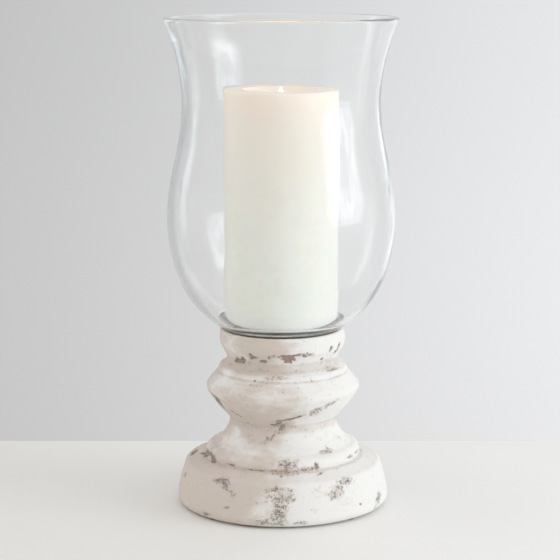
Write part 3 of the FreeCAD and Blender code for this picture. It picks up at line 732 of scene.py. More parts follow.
@dataclass
class Lathe:
    """A turned piece: an outline from axis to axis, or a closed ring, and its turned mesh."""

    name: str
    outline: np.ndarray
    segments: int
    closed: bool = False

    def _rows(self) -> tuple[np.ndarray, np.ndarray]:
        """Cosines and sines of the segments' bearings, from the front, -Y."""
        angles = np.arange(self.segments) * 2 * math.pi / self.segments - math.pi / 2
        return np.cos(angles), np.sin(angles)

    def grid(self) -> np.ndarray:
        """Positions of every ring's points, as rings by segments by three."""
        cosine, sine = self._rows()
        radius, height = self.outline[:, 0:1], self.outline[:, 1:2]
        spread = np.ones_like(cosine)
        return np.stack((radius * cosine, radius * sine, height * spread), axis=2)

    def normals(self) -> np.ndarray:
        """Outward normals of the rings, in the same layout as the grid."""
        cosine, sine = self._rows()
        points = self.outline
        if self.closed:
            along = np.roll(points, -1, axis=0) - np.roll(points, 1, axis=0)
        else:
            along = np.gradient(points, axis=0)
        along = along / np.maximum(np.linalg.norm(along, axis=1, keepdims=True), 1e-12)
        out, up = along[:, 1:2], -along[:, 0:1]
        spread = np.ones_like(cosine)
        return np.stack((out * cosine, out * sine, up * spread), axis=2)

    def mesh(self, grid: np.ndarray, attributes: dict[str, np.ndarray] | None = None) -> bpy.types.Object:
        """Make the object from a grid of positions.

        Args:
            grid: positions in the layout of grid().
            attributes: numbers to store on the points, as rings by segments.

        Returns:
            The object, closed and with its faces pointing outwards.
        """
        rings, segments = grid.shape[:2]
        poles = [] if self.closed else [ring for ring in (0, rings - 1) if self.outline[ring, 0] < 1e-9]
        points, first = [], []
        for ring in range(rings):
            first.append(len(points))
            points.extend([grid[ring].mean(axis=0)] if ring in poles else grid[ring])
        faces = []
        pairs = list(zip(range(rings - 1), range(1, rings)))
        if self.closed:
            pairs.append((rings - 1, 0))
        for low, high in pairs:
            for column in range(segments):
                after = (column + 1) % segments
                a, b = first[low] + column, first[low] + after
                c, d = first[high] + after, first[high] + column
                if low in poles:
                    faces.append((first[low], c, d))
                elif high in poles:
                    faces.append((a, b, first[high]))
                else:
                    faces.append((a, b, c, d))
        mesh = bpy.data.meshes.new(self.name)
        mesh.from_pydata([tuple(point) for point in points], [], faces)
        for name, values in (attributes or {}).items():
            layer = mesh.attributes.new(name, "FLOAT", "POINT")
            rows = [values[ring][:1] if ring in poles else values[ring] for ring in range(rings)]
            layer.data.foreach_set("value", np.concatenate(rows).astype(np.float32))
        mesh.shade_smooth()
        mesh.validate()
        return add_object(self.name, mesh)


def add_object(name: str, data: bpy.types.ID) -> bpy.types.Object:
    """Link a new object to the scene."""
    thing = bpy.data.objects.new(name, data)
    bpy.context.scene.collection.objects.link(thing)
    return thing


def dress(thing: bpy.types.Object, material: bpy.types.Material) -> None:
    """Give an object its one material."""
    thing.data.materials.clear()
    thing.data.materials.append(material)


# ---------------------------------------------------------------------------- geometry nodes kit
class Scatter:
    """A Geometry Nodes tree that sets small shapes on a base mesh, and what it makes of it."""

    def __init__(self, name: str) -> None:
        """Start the tree, with the base mesh coming in."""
        self.name = name
        self.tree = bpy.data.node_groups.new(name, "GeometryNodeTree")
        self.values: dict[str, float | int] = {}
        for way in ("INPUT", "OUTPUT"):
            self.tree.interface.new_socket(name="Base", in_out=way, socket_type="NodeSocketGeometry")
        self.entry = self.tree.nodes.new("NodeGroupInput")
        self.exit = self.tree.nodes.new("NodeGroupOutput")

    def size(self, name: str, value: float | int) -> bpy.types.NodeSocket:
        """Add a named input with its value and return where it comes in."""
        kind = "NodeSocketInt" if isinstance(value, int) else "NodeSocketFloat"
        socket = self.tree.interface.new_socket(name=name, in_out="INPUT", socket_type=kind)
        self.values[socket.identifier] = value
        return self.entry.outputs[name]

    def node(self, kind: str, settings: dict | None = None, inputs: dict | None = None) -> bpy.types.Node:
        """Add a node.

        Args:
            kind: the node's type.
            settings: properties of the node.
            inputs: values or sockets by input name or index.

        Returns:
            The node.
        """
        made = self.tree.nodes.new(kind)
        for key, value in (settings or {}).items():
            setattr(made, key, value)
        for key, value in (inputs or {}).items():
            if isinstance(value, bpy.types.NodeSocket):
                self.tree.links.new(value, made.inputs[key])
            else:
                made.inputs[key].default_value = value
        return made

    def facing(self, direction: tuple[float, float, float], least: float) -> bpy.types.NodeSocket:
        """Whether a face looks along a direction, which is scaled by the place it is at."""
        place = self.node("GeometryNodeInputPosition").outputs[0]
        scaled = self.node("ShaderNodeVectorMath", {"operation": "MULTIPLY"}, {0: place, 1: direction})
        normal = self.node("GeometryNodeInputNormal").outputs[0]
        dot = self.node(
            "ShaderNodeVectorMath", {"operation": "DOT_PRODUCT"}, {0: scaled.outputs[0], 1: normal}
        )
        chosen = self.node("FunctionNodeCompare", {"data_type": "FLOAT", "operation": "GREATER_THAN"})
        self.tree.links.new(dot.outputs["Value"], chosen.inputs[0])
        chosen.inputs[1].default_value = least
        return chosen.outputs[0]

    def sprinkled(self, density: float, seed: int, chosen: bpy.types.NodeSocket) -> bpy.types.Node:
        """Points at random over the chosen faces, so many to a square metre."""
        return self.node(
            "GeometryNodeDistributePointsOnFaces",
            {"distribute_method": "RANDOM"},
            {
                "Mesh": self.entry.outputs["Base"],
                "Selection": chosen,
                "Density": self.size("Density", density),
                "Seed": self.size("Seed", seed),
            },
        )

    def scales(
        self, low: tuple[float, float, float], high: tuple[float, float, float]
    ) -> bpy.types.NodeSocket:
        """Three numbers at random for each point, between two limits: a scale, or a lean in radians."""
        settings = {"data_type": "FLOAT_VECTOR"}
        return self.node("FunctionNodeRandomValue", settings, {0: low, 1: high}).outputs[0]

    def build(
        self,
        base: bpy.types.Mesh,
        points: bpy.types.NodeSocket,
        placing: dict[str, bpy.types.NodeSocket],
        shape: bpy.types.NodeSocket,
        finish: bpy.types.Material,
    ) -> bpy.types.Object:
        """Set the shape on the points and turn the result into a plain mesh.

        Args:
            base: the mesh that the tree starts from.
            points: where the shapes go.
            placing: rotation and scale of the shapes, by input name.
            shape: the shape.
            finish: material of the shapes.

        Returns:
            The piece, without the modifier.
        """
        inputs = {"Points": points, "Instance": shape, **placing}
        set_on = self.node("GeometryNodeInstanceOnPoints", None, inputs)
        real = self.node("GeometryNodeRealizeInstances", None, {"Geometry": set_on.outputs[0]})
        inputs = {"Geometry": real.outputs[0], "Material": finish}
        painted = self.node("GeometryNodeSetMaterial", None, inputs)
        self.tree.links.new(painted.outputs[0], self.exit.inputs[0])
        thing = add_object(self.name, base)
        modifier = thing.modifiers.new("tree", "NODES")
        modifier.node_group = self.tree
        for identifier, value in self.values.items():
            modifier[identifier] = value
        graph = bpy.context.evaluated_depsgraph_get()
        mesh = bpy.data.meshes.new_from_object(thing.evaluated_get(graph), depsgraph=graph)
        thing.modifiers.clear()
        thing.data = mesh
        dress(thing, finish)
        mesh.shade_smooth()
        LOG.info("%s has %d faces", self.name, len(mesh.polygons))
        return thing


@dataclass
class LimewashGrit:
    """Lumps of grit caught under the limewash."""

    radius: float = 0.42 * MM
    density: float = 15000.0
    seed: int = 5

    def build(self, skin: bpy.types.Mesh, finish: bpy.types.Material) -> bpy.types.Object:
        """Build the lumps on the pedestal's outer skin."""
        tree = Scatter("limewash_grit")
        spread = tree.sprinkled(self.density, self.seed, tree.facing((1.0, 1.0, 0.0), 0.004))
        lump = tree.node(
            "GeometryNodeMeshIcoSphere", None, {"Radius": tree.size("Radius", self.radius), "Subdivisions": 2}
        )
        placing = {
            "Rotation": spread.outputs["Rotation"],
            "Scale": tree.scales((0.35, 0.35, 0.16), (1.0, 0.9, 0.42)),
        }
        return tree.build(skin.copy(), spread.outputs["Points"], placing, lump.outputs["Mesh"], finish)


@dataclass
class FeltFuzz:
    """Fibres that stand out of the edges of the felt."""

    name: str
    length: float = 0.36 * MM
    thickness: float = 0.035 * MM
    density: float = 2.2e6
    seed: int = 11

    def build(self, pad: bpy.types.Mesh, finish: bpy.types.Material) -> bpy.types.Object:
        """Build the fibres on the sides of a pad."""
        tree = Scatter(self.name)
        normal = tree.node("GeometryNodeInputNormal").outputs[0]
        up = tree.node("ShaderNodeSeparateXYZ", None, {0: normal}).outputs[2]
        flat = tree.node("ShaderNodeMath", {"operation": "ABSOLUTE"}, {0: up}).outputs[0]
        side = tree.node("ShaderNodeMath", {"operation": "LESS_THAN"}, {0: flat, 1: 0.5}).outputs[0]
        spread = tree.sprinkled(self.density, self.seed, side)
        fibre = tree.node(
            "GeometryNodeMeshCone",
            None,
            {
                "Vertices": 3,
                "Radius Top": 0.0,
                "Radius Bottom": tree.size("Thickness", self.thickness),
                "Depth": tree.size("Length", self.length),
            },
        )
        lean = tree.scales((-0.5, -0.5, 0.0), (0.5, 0.5, 6.0))
        turned = tree.node(
            "FunctionNodeRotateRotation",
            {"rotation_space": "LOCAL"},
            {0: spread.outputs["Rotation"], 1: lean},
        )
        placing = {"Rotation": turned.outputs[0], "Scale": tree.scales((0.7, 0.7, 0.4), (1.0, 1.0, 1.0))}
        return tree.build(pad.copy(), spread.outputs["Points"], placing, fibre.outputs["Mesh"], finish)


@dataclass
class SolderJoints:
    """Solder cones on the board, round each lead that comes through it."""

    radius: float = 0.9 * MM
    height: float = 0.55 * MM

    def build(self, places: Sequence[Vector], finish: bpy.types.Material) -> bpy.types.Object:
        """Build one joint at each place."""
        base = bpy.data.meshes.new("solder_places")
        base.from_pydata([tuple(place) for place in places], [], [])
        tree = Scatter("solder_joints")
        cone = tree.node(
            "GeometryNodeMeshCone",
            None,
            {
                "Vertices": 24,
                "Side Segments": 3,
                "Radius Top": 0.35 * self.radius,
                "Radius Bottom": tree.size("Radius", self.radius),
                "Depth": tree.size("Height", self.height),
            },
        )
        return tree.build(base, tree.entry.outputs["Base"], {}, cone.outputs["Mesh"], finish)


# ---------------------------------------------------------------------------- sub-assemblies
class Wear(Enum):
    """Kinds of worn patch on the limewash."""

    CHIP = "chip"
    SPECKLE = "speckle"
    RED = "red"
    RED_SPECKLE = "red speckle"

    @property
    def is_speckle(self) -> bool:
        """Whether the patch is broken into specks."""
        return self in (Wear.SPECKLE, Wear.RED_SPECKLE)

    @property
    def is_red(self) -> bool:
        """Whether the clay under it is red."""
        return self in (Wear.RED, Wear.RED_SPECKLE)


@dataclass(frozen=True)
class Patch:
    """One worn patch: where it lies and how far it reaches, in degrees from the front and mm."""

    bearing: float
    height: float
    half_width: float
    half_height: float
    wear: Wear = Wear.CHIP
    tilt: float = 0.0
    depth: float = 0.8


@dataclass
class Pedestal:
    """Hollow pedestal: its outline, its hand-made surface and its wear.

    Sizes are in mm. A pair of the surface is the size of a feature and its strength.
    """

    foot_z: float = 1.2
    seat_z: float = 116.3
    seat_radius: float = 38.5
    core_foot: float = 54.5
    core_neck: float = 28.1
    core_top: float = 26.1
    foot_radius: float = 65.2
    lip_z: float = 118.5
    deck: float = 12.0
    axis_gap: float = 2.0
    face_step: float = 0.86
    hidden_step: float = 6.0
    soft_passes: int = 2
    soft_span: tuple[float, float] = (3.0, 116.9)
    strokes: tuple[tuple[float, float, float], ...] = (
        (69.9, 7.5, 1.9),
        (65.6, 26.5, 0.6),
        (62.2, 29.9, 1.1),
        (51.0, 33.0, 0.0),
        (47.1, 41.5, 2.0),
        (45.9, 41.5, 0.0),
        (35.7, 56.7, -1.9),
        (37.0, 60.7, -0.5),
        (50.3, 77.3, 0.5),
        (50.1, 83.1, 1.0),
        (43.0, 91.0, 0.0),
        (40.6, 94.6, 1.0),
        (36.7, 98.8, -0.8),
        (40.8, 107.0, -0.5),
        (40.9, 117.4, 0.9),
        (39.9, 118.5, 0.3),
    )
    segments: int = 400
    wobble: tuple[float, float] = (62.0, 0.60)
    lumps: tuple[float, float] = (21.0, 0.42)
    brush: tuple[float, float] = (9.0, 0.17)
    grain: tuple[float, float] = (3.4, 0.10)
    ragged: tuple[tuple[float, float], ...] = ((2.2, 0.34), (5.0, 0.26))
    face_top: float = 118.4
    still_top: float = 118.2
    ease_top: float = 3.0
    ease_foot: float = 2.0
    cut_from: float = 0.42
    cut_over: float = 0.16
    speckle_depth: float = 0.35
    sides: tuple[float, float] = (84.0, 262.0)
    lean: float = 0.9
    tint_middle: float = 0.40
    # painted shade: how many mm towards the left raise the tint by one, for the warmer, darker left side
    side_shade_reach: float = 110.0
    tint_drift: tuple[float, float] = (34.0, 0.30)
    seed: int = 41
    front: tuple[Patch, ...] = (
        Patch(-47.0, 101.2, 5.6, 1.9, tilt=8),
        Patch(-42.5, 102.4, 2.2, 1.4, tilt=-20),
        Patch(-30.0, 105.6, 3.4, 1.9),
        Patch(-18.5, 102.8, 2.0, 1.3),
        Patch(-13.5, 105.6, 1.3, 0.7),
        Patch(5.5, 106.9, 9.4, 1.4, tilt=3, wear=Wear.RED),
        Patch(6.5, 105.2, 5.0, 1.6, wear=Wear.RED),
        Patch(5.5, 103.2, 2.6, 2.0, wear=Wear.RED, tilt=20),
        Patch(19.5, 107.0, 1.6, 1.0),
        Patch(25.0, 107.6, 3.4, 1.0, wear=Wear.SPECKLE, depth=0.3),
        Patch(62.0, 107.5, 1.9, 5.2, tilt=-24),
        Patch(50.0, 109.5, 1.0, 1.6, tilt=-20),
        Patch(42.0, 102.6, 1.1, 0.8),
        Patch(-84.0, 108.5, 1.4, 5.0),
        Patch(-4.0, 93.8, 6.4, 1.2, wear=Wear.RED_SPECKLE, depth=0.4),
        Patch(58.0, 94.8, 5.0, 1.2, wear=Wear.SPECKLE, depth=0.4),
        Patch(-25.0, 91.0, 0.9, 0.6),
        Patch(-23.0, 88.6, 2.6, 0.8, wear=Wear.SPECKLE, depth=0.2),
        Patch(-72.0, 75.6, 3.4, 3.2, wear=Wear.SPECKLE, tilt=-24),
        Patch(-64.5, 71.6, 3.2, 5.2, tilt=-22),
        Patch(-73.0, 72.4, 5.6, 3.0, tilt=-24),
        Patch(-45.5, 66.0, 4.2, 1.0, tilt=-38, depth=0.5),
        Patch(5.0, 65.6, 8.6, 1.1, tilt=18),
        Patch(-4.5, 62.6, 3.6, 1.4, tilt=30),
        Patch(-1.5, 59.8, 3.8, 3.4, wear=Wear.SPECKLE, depth=0.5),
        Patch(28.5, 71.2, 4.6, 2.6, tilt=38, wear=Wear.SPECKLE),
        Patch(38.0, 74.8, 5.4, 2.0, tilt=24, wear=Wear.SPECKLE, depth=0.4),
        Patch(-15.0, 51.0, 4.4, 1.1, tilt=34, wear=Wear.SPECKLE, depth=0.3),
        Patch(38.0, 42.4, 4.4, 1.8, wear=Wear.SPECKLE, depth=0.5),
        Patch(-99.0, 30.4, 6.4, 1.8, depth=0.7),
        Patch(-86.0, 33.0, 6.4, 1.9, depth=0.7, tilt=14),
        Patch(-76.0, 35.4, 6.4, 1.9, depth=0.7, tilt=12),
        Patch(-67.5, 36.4, 4.4, 1.9, tilt=-34),
        Patch(-62.5, 34.4, 2.4, 1.9, tilt=-24),
        Patch(-41.0, 34.3, 3.0, 1.0),
        Patch(-20.0, 33.6, 6.0, 0.5, depth=0.2),
        Patch(2.0, 33.9, 7.4, 1.5, wear=Wear.RED_SPECKLE, depth=0.4),
        Patch(3.5, 38.0, 6.0, 3.2, wear=Wear.RED_SPECKLE, depth=0.4),
        Patch(17.5, 34.6, 5.0, 1.2, wear=Wear.RED_SPECKLE, depth=0.4),
        Patch(25.0, 36.2, 1.2, 2.4),
        Patch(25.6, 31.8, 2.8, 1.2, tilt=24),
        Patch(60.0, 36.8, 2.8, 0.9, wear=Wear.SPECKLE),
        Patch(74.0, 37.0, 4.0, 1.0, wear=Wear.SPECKLE, depth=0.3),
        Patch(-37.0, 27.8, 4.6, 2.4, wear=Wear.SPECKLE, depth=0.6),
        Patch(-37.5, 28.4, 4.4, 0.8, tilt=18),
        Patch(-36.0, 27.4, 0.9, 2.8, tilt=-14),
        Patch(-35.0, 26.6, 3.0, 0.6, tilt=-30),
        Patch(-75.5, 22.0, 1.9, 1.3, wear=Wear.SPECKLE),
        Patch(-33.0, 23.4, 4.4, 1.0, wear=Wear.RED_SPECKLE, depth=0.3, tilt=-16),
        Patch(-28.5, 20.4, 1.6, 1.2, wear=Wear.RED_SPECKLE, depth=0.3),
        Patch(-32.0, 11.5, 1.8, 1.0, wear=Wear.SPECKLE, depth=0.3),
        Patch(-5.0, 25.6, 7.0, 1.6, wear=Wear.SPECKLE, depth=0.2),
        Patch(-1.0, 20.0, 6.4, 3.8, wear=Wear.SPECKLE, depth=0.35),
        Patch(-2.0, 13.0, 4.4, 6.0, wear=Wear.SPECKLE, depth=0.6),
        Patch(-3.0, 6.5, 4.4, 4.4, wear=Wear.SPECKLE, depth=0.6),
        Patch(-1.2, 10.0, 1.6, 4.0, depth=0.3),
        Patch(-11.0, 5.2, 5.4, 1.6, wear=Wear.SPECKLE, depth=0.3),
        Patch(9.4, 4.4, 3.0, 1.4, wear=Wear.SPECKLE, depth=0.3),
        Patch(31.5, 22.6, 4.8, 3.6, wear=Wear.SPECKLE, tilt=32, depth=0.4),
        Patch(38.0, 27.2, 5.6, 2.0, wear=Wear.SPECKLE, depth=0.5),
        Patch(63.5, 9.2, 4.8, 2.6, wear=Wear.SPECKLE, tilt=40, depth=0.4),
        Patch(46.5, 11.0, 1.0, 0.8, depth=0.3),
        Patch(-46.0, 4.6, 3.0, 1.2, depth=0.4),
    )
    tint_patches: tuple[Patch, ...] = (
        Patch(-16.0, 112.0, 17.0, 7.0, depth=0.85),
        Patch(-24.0, 98.0, 16.0, 5.0, depth=0.45),
        Patch(-20.0, 62.0, 24.0, 9.0, depth=0.42),
        Patch(-30.0, 53.0, 10.0, 7.0, depth=0.30),
        Patch(-8.0, 80.0, 12.0, 5.0, depth=-0.22),
        Patch(-62.0, 88.0, 14.0, 8.0, depth=-0.22),
        Patch(-60.0, 20.0, 20.0, 5.0, depth=0.18),
        Patch(-28.0, 15.0, 9.0, 8.0, depth=0.28),
        Patch(-52.0, 36.0, 16.0, 7.0, depth=0.25),
        Patch(-4.0, 35.0, 16.0, 6.0, depth=0.22),
        Patch(-44.0, 12.0, 18.0, 9.0, depth=0.18),
        Patch(38.0, 33.0, 20.0, 3.0, depth=0.20),
        Patch(14.0, 56.0, 12.0, 6.0, depth=-0.30),
        Patch(-50.0, 48.0, 14.0, 8.0, depth=-0.25),
    )

    @classmethod
    def from_frame(cls) -> "Pedestal":
        """The pedestal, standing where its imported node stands."""
        return cls(foot_z=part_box("pedestal_body")[0][2] / MM)

    def outline(self) -> tuple[np.ndarray, int]:
        """The shell's outline in mm, and how many of its points are the outer face."""
        o = Outline(self.core_foot, self.foot_z, self.face_step)
        o.line(self.foot_radius, self.foot_z)
        o.trace(self.strokes)
        o.line(self.seat_radius, self.lip_z)
        outer = len(o.points)
        o.line(self.seat_radius, self.seat_z)
        o.step = self.hidden_step
        o.line(self.axis_gap, self.seat_z)
        o.line(self.axis_gap, self.seat_z - self.deck)
        o.line(self.core_top, self.seat_z - self.deck)
        return o.softened(self.soft_passes, *self.soft_span), outer

    def build(self, finish: bpy.types.Material) -> bpy.types.Object:
        """Build the pedestal's skin.

        Args:
            finish: the limewash.

        Returns:
            The piece.
        """
        face, outer = self.outline()
        core = Outline(self.core_top, self.seat_z - self.deck, 7.0)
        core.bow(self.core_neck, self.seat_z - 14.0, -0.6)
        core.line(self.core_neck, 45.5)
        core.bow(self.core_foot - 3.0, 17.9, -2.5)
        core.line(self.core_foot, self.foot_z)
        section = np.array([*map(tuple, face[:-1]), *core.points[:-1]])
        return self._skin(section, outer, finish)

    def _skin(self, points: np.ndarray, outer: int, finish: bpy.types.Material) -> bpy.types.Object:
        """Turn the outline, give it its hand-made surface and store its wear."""
        lathe = Lathe("pedestal_skin", points, self.segments, closed=True)
        grid, normals = lathe.grid(), lathe.normals()
        rings = len(points)
        flat = grid.reshape(-1, 3)
        height = points[:, 1]
        on_face = (np.arange(rings) < outer) & (height > self.foot_z + 0.5) & (height < self.face_top)
        hold = np.clip((self.still_top - height) / self.ease_top, 0, 1)
        hold = hold * np.clip((height - self.foot_z) / self.ease_foot, 0, 1)
        hold = (hold * on_face)[:, None]

        coarse, middle, small = Lattice(self.seed), Lattice(self.seed + 1), Lattice(self.seed + 2)
        (wide, swell), (lump, bulge) = self.wobble, self.lumps
        (stroke, ridge), (grain, rough) = self.brush, self.grain
        wobble = coarse.at(flat * (1, 1, 0.8), wide) * swell + coarse.at(flat, lump) * bulge
        streaks = middle.at(flat * (1, 1, 2.4), stroke) * ridge + small.layered(flat, grain, 2) * rough
        relief = (wobble + streaks).reshape(rings, -1)

        bare, speckle, red, sunk = self._worn(points, grid, outer, small)
        crease = np.repeat(self._creases(points, outer)[:, None], self.segments, axis=1)
        cloud, drift = self.tint_drift
        # painted shade: the tint rises towards the left (-X), so the wash is warmer and darker on the side
        # away from the key light; the drift noise varies it at random
        tint = self.tint_middle - flat[:, 0] / self.side_shade_reach + middle.at(flat, cloud) * drift
        tint = tint.reshape(rings, -1)
        # patches of higher and lower tint, most of them on the left front
        for tint_patch in self.tint_patches:
            reach = self._reach(tint_patch, points, grid, outer)
            tint = tint + tint_patch.depth * np.clip(0.5 + reach, 0, 1)
        relief = relief - sunk
        grid = grid + normals * (relief * hold)[:, :, None]
        grid[:, :, 0] += self.lean * hold
        face = hold > 0
        attributes = {
            "bare": bare * face,
            "speckle": speckle,
            "red": red,
            "crease": crease * face,
            "tint": tint,
        }
        skin = lathe.mesh(grid * MM, attributes)
        dress(skin, finish)
        return skin

    @staticmethod
    def _creases(points: np.ndarray, outer: int) -> np.ndarray:
        """How deep each ring of the outer face lies in a hollow, from 0 to 1."""
        radius = points[:outer, 0]
        depth = np.zeros(len(points))
        for spread, full in HOLLOWS:
            padded = np.pad(radius, spread, mode="edge")
            around = np.array([padded[i : i + 2 * spread + 1].mean() for i in range(outer)])
            depth[:outer] += np.clip((around - radius) / full, 0, 1)
        return np.clip(depth, 0, 1)

    @staticmethod
    def _reach(patch: Patch, points: np.ndarray, grid: np.ndarray, outer: int) -> np.ndarray:
        """How far inside a patch each point lies: 1 at its middle, 0 at its edge, less outside."""
        index = int(np.argmin(np.abs(points[:outer, 1] - patch.height) - points[:outer, 0] * 0.002))
        run = points[min(index + 1, outer - 1)] - points[max(index - 1, 0)]
        run = run / np.linalg.norm(run)
        bearing = math.radians(patch.bearing) - math.pi / 2
        out = np.array((math.cos(bearing), math.sin(bearing), 0.0))
        across = np.array((-math.sin(bearing), math.cos(bearing), 0.0))
        up = out * run[0] + (0.0, 0.0, run[1])
        away = grid - (out * points[index, 0] + (0.0, 0.0, points[index, 1]))
        u, v = away @ across, away @ up
        tilt = math.radians(patch.tilt)
        u, v = u * math.cos(tilt) + v * math.sin(tilt), v * math.cos(tilt) - u * math.sin(tilt)
        near = np.linalg.norm(away, axis=2) < 3 * max(patch.half_width, patch.half_height) + 4
        return np.where(near, 1.0 - np.hypot(u / patch.half_width, v / patch.half_height), OUTSIDE)

    def _worn(
        self, points: np.ndarray, grid: np.ndarray, outer: int, small: Lattice
    ) -> tuple[np.ndarray, np.ndarray, np.ndarray, np.ndarray]:
        """Fields of bare clay, speckle, redness and chip depth over the grid."""
        shape = grid.shape[:2]
        bare, speckle, red, sunk = (np.zeros(shape) for _ in range(4))
        flat = grid.reshape(-1, 3)
        ragged = sum(small.at(flat, size) * strength for size, strength in self.ragged).reshape(shape)
        for patch in (*self.front, *self._other_sides()):
            reach = self._reach(patch, points, grid, outer)
            level = np.clip(0.5 + 0.5 * reach + ragged, 0, 1) * (reach > -1.2)
            stronger = level > bare
            speckle = np.where(stronger, float(patch.wear.is_speckle), speckle)
            red = np.where(stronger, float(patch.wear.is_red), red)
            bare = np.where(stronger, level, bare)
            cut = np.clip((level - self.cut_from) / self.cut_over, 0, 1)
            share = self.speckle_depth if patch.wear.is_speckle else 1.0
            sunk = np.maximum(sunk, patch.depth * cut * share)
        return bare, speckle, red, sunk

    def _other_sides(self) -> Iterable[Patch]:
        """Patches round the sides and back, along the edges that take the knocks."""
        draw = random.Random(self.seed)
        edges = (
            (105.8, 3.0, 8),
            (93.8, 1.0, 4),
            (72.0, 4.0, 6),
            (61.0, 2.5, 4),
            (42.0, 1.5, 4),
            (35.0, 1.5, 7),
            (27.5, 2.0, 6),
            (13.0, 7.0, 8),
        )
        for height, spread, count in edges:
            for _ in range(count):
                yield Patch(
                    bearing=draw.uniform(*self.sides),
                    height=height + draw.uniform(-spread, spread),
                    half_width=draw.uniform(1.2, 6.5),
                    half_height=draw.uniform(0.8, 2.6),
                    wear=draw.choice((Wear.CHIP, Wear.SPECKLE, Wear.SPECKLE, Wear.RED)),
                    tilt=draw.uniform(-30.0, 30.0),
                    depth=draw.uniform(0.3, 0.8),
                )


@dataclass
class HurricaneGlass:
    """Blown glass: closed bottom, full bowl, waist and flared rim. Heights are above its foot."""

    foot_z: float = 119.3
    height: float = 203.9
    wall: float = 2.5
    floor: float = 5.0
    floor_radius: float = 41.5
    foot_radius: float = 38.4
    bowl_radius: float = 75.1
    bowl_rise: float = 73.0
    waist_radius: float = 64.9
    waist_rise: float = 147.0
    rim_radius: float = 76.3
    wall_inset: float = 1.1
    rim_drop: float = 0.65
    heel_reach: float = 3.4
    heel_height: float = 1.7
    heel_bulge: float = 0.35
    hollow: float = 0.9
    still_below: float = 9.0
    shares: tuple[tuple[tuple[float, float], ...], ...] = (
        ((0.161, 0.064), (0.519, 0.227), (0.813, 0.486), (1, 1)),
        ((0.39, 0.44), (0.74, 0.66), (1, 1)),
        ((0.17, 0.42), (0.47, 0.69), (1, 1)),
    )
    segments: int = 320
    ripples: tuple[tuple[int, float, float], ...] = ((7, 46.0, 0.24), (8, 21.0, 0.12), (9, 10.0, 0.025))

    @classmethod
    def from_frame(cls) -> "HurricaneGlass":
        """The glass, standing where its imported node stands."""
        return cls(foot_z=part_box("glass_hurricane")[0][2] / MM)

    def stations(self) -> list[tuple[float, float]]:
        """Points of the outer wall above the heel, as radius and height."""
        heel = self.floor_radius - self.wall_inset
        rim_rise = self.height - self.rim_drop * self.wall
        radii = (heel, self.bowl_radius, self.waist_radius, self.rim_radius)
        rises = (0.0, self.bowl_rise, self.waist_rise, rim_rise)
        points = []
        spans = zip(radii, radii[1:], rises, rises[1:], self.shares)
        for radius, next_radius, low, high, shares in spans:
            for out, up in shares:
                rise = self.foot_z + low + up * (high - low)
                points.append((radius + out * (next_radius - radius), rise))
        return points

    def build(self, finish: bpy.types.Material) -> bpy.types.Object:
        """Build the glass.

        Args:
            finish: the clear glass.

        Returns:
            The piece.
        """
        heel = Outline(0.0, self.foot_z + self.hollow, 1.6)
        heel.bow(self.foot_radius - 8.0, self.foot_z, 0.02)
        heel.line(self.foot_radius, self.foot_z)
        heel.step = 0.5
        heel.bow(self.foot_radius + self.heel_reach, self.foot_z + self.heel_height, self.heel_bulge)
        wall = Outline(*heel.points[-1], 1.75)
        wall.curve(self.stations())
        outer = np.array(wall.points)
        inner = offset_inwards(outer, self.wall)
        above = inner[:, 1] > self.foot_z + self.floor + 1.3
        inner = inner[above]
        rim = Outline(*outer[-1], 0.35)
        rim.bow(*inner[-1], self.wall / 2 * 0.999)
        bottom = Outline(*inner[0], 0.4)
        bottom.bow(self.floor_radius, self.foot_z + self.floor, -self.heel_bulge)
        bottom.step = 2.0
        bottom.line(0.0, self.foot_z + self.floor)
        points = heel.points[:-1] + list(map(tuple, outer)) + rim.points[1:-1]
        points += list(map(tuple, inner[::-1])) + bottom.points[1:]
        lathe = Lathe("glass_skin", np.array(points), self.segments)
        grid, normals = lathe.grid(), lathe.normals()
        flat = grid.reshape(-1, 3) * (1, 1, 0.6)
        drift = sum(Lattice(seed).at(flat, size) * depth for seed, size, depth in self.ripples)
        rise = lathe.outline[:, 1] - self.foot_z
        free = np.clip((rise - self.still_below) / 20.0, 0, 1)[:, None]
        grid = grid + normals * (drift.reshape(grid.shape[:2]) * free)[:, :, None]
        thing = lathe.mesh(grid * MM)
        dress(thing, finish)
        return thing


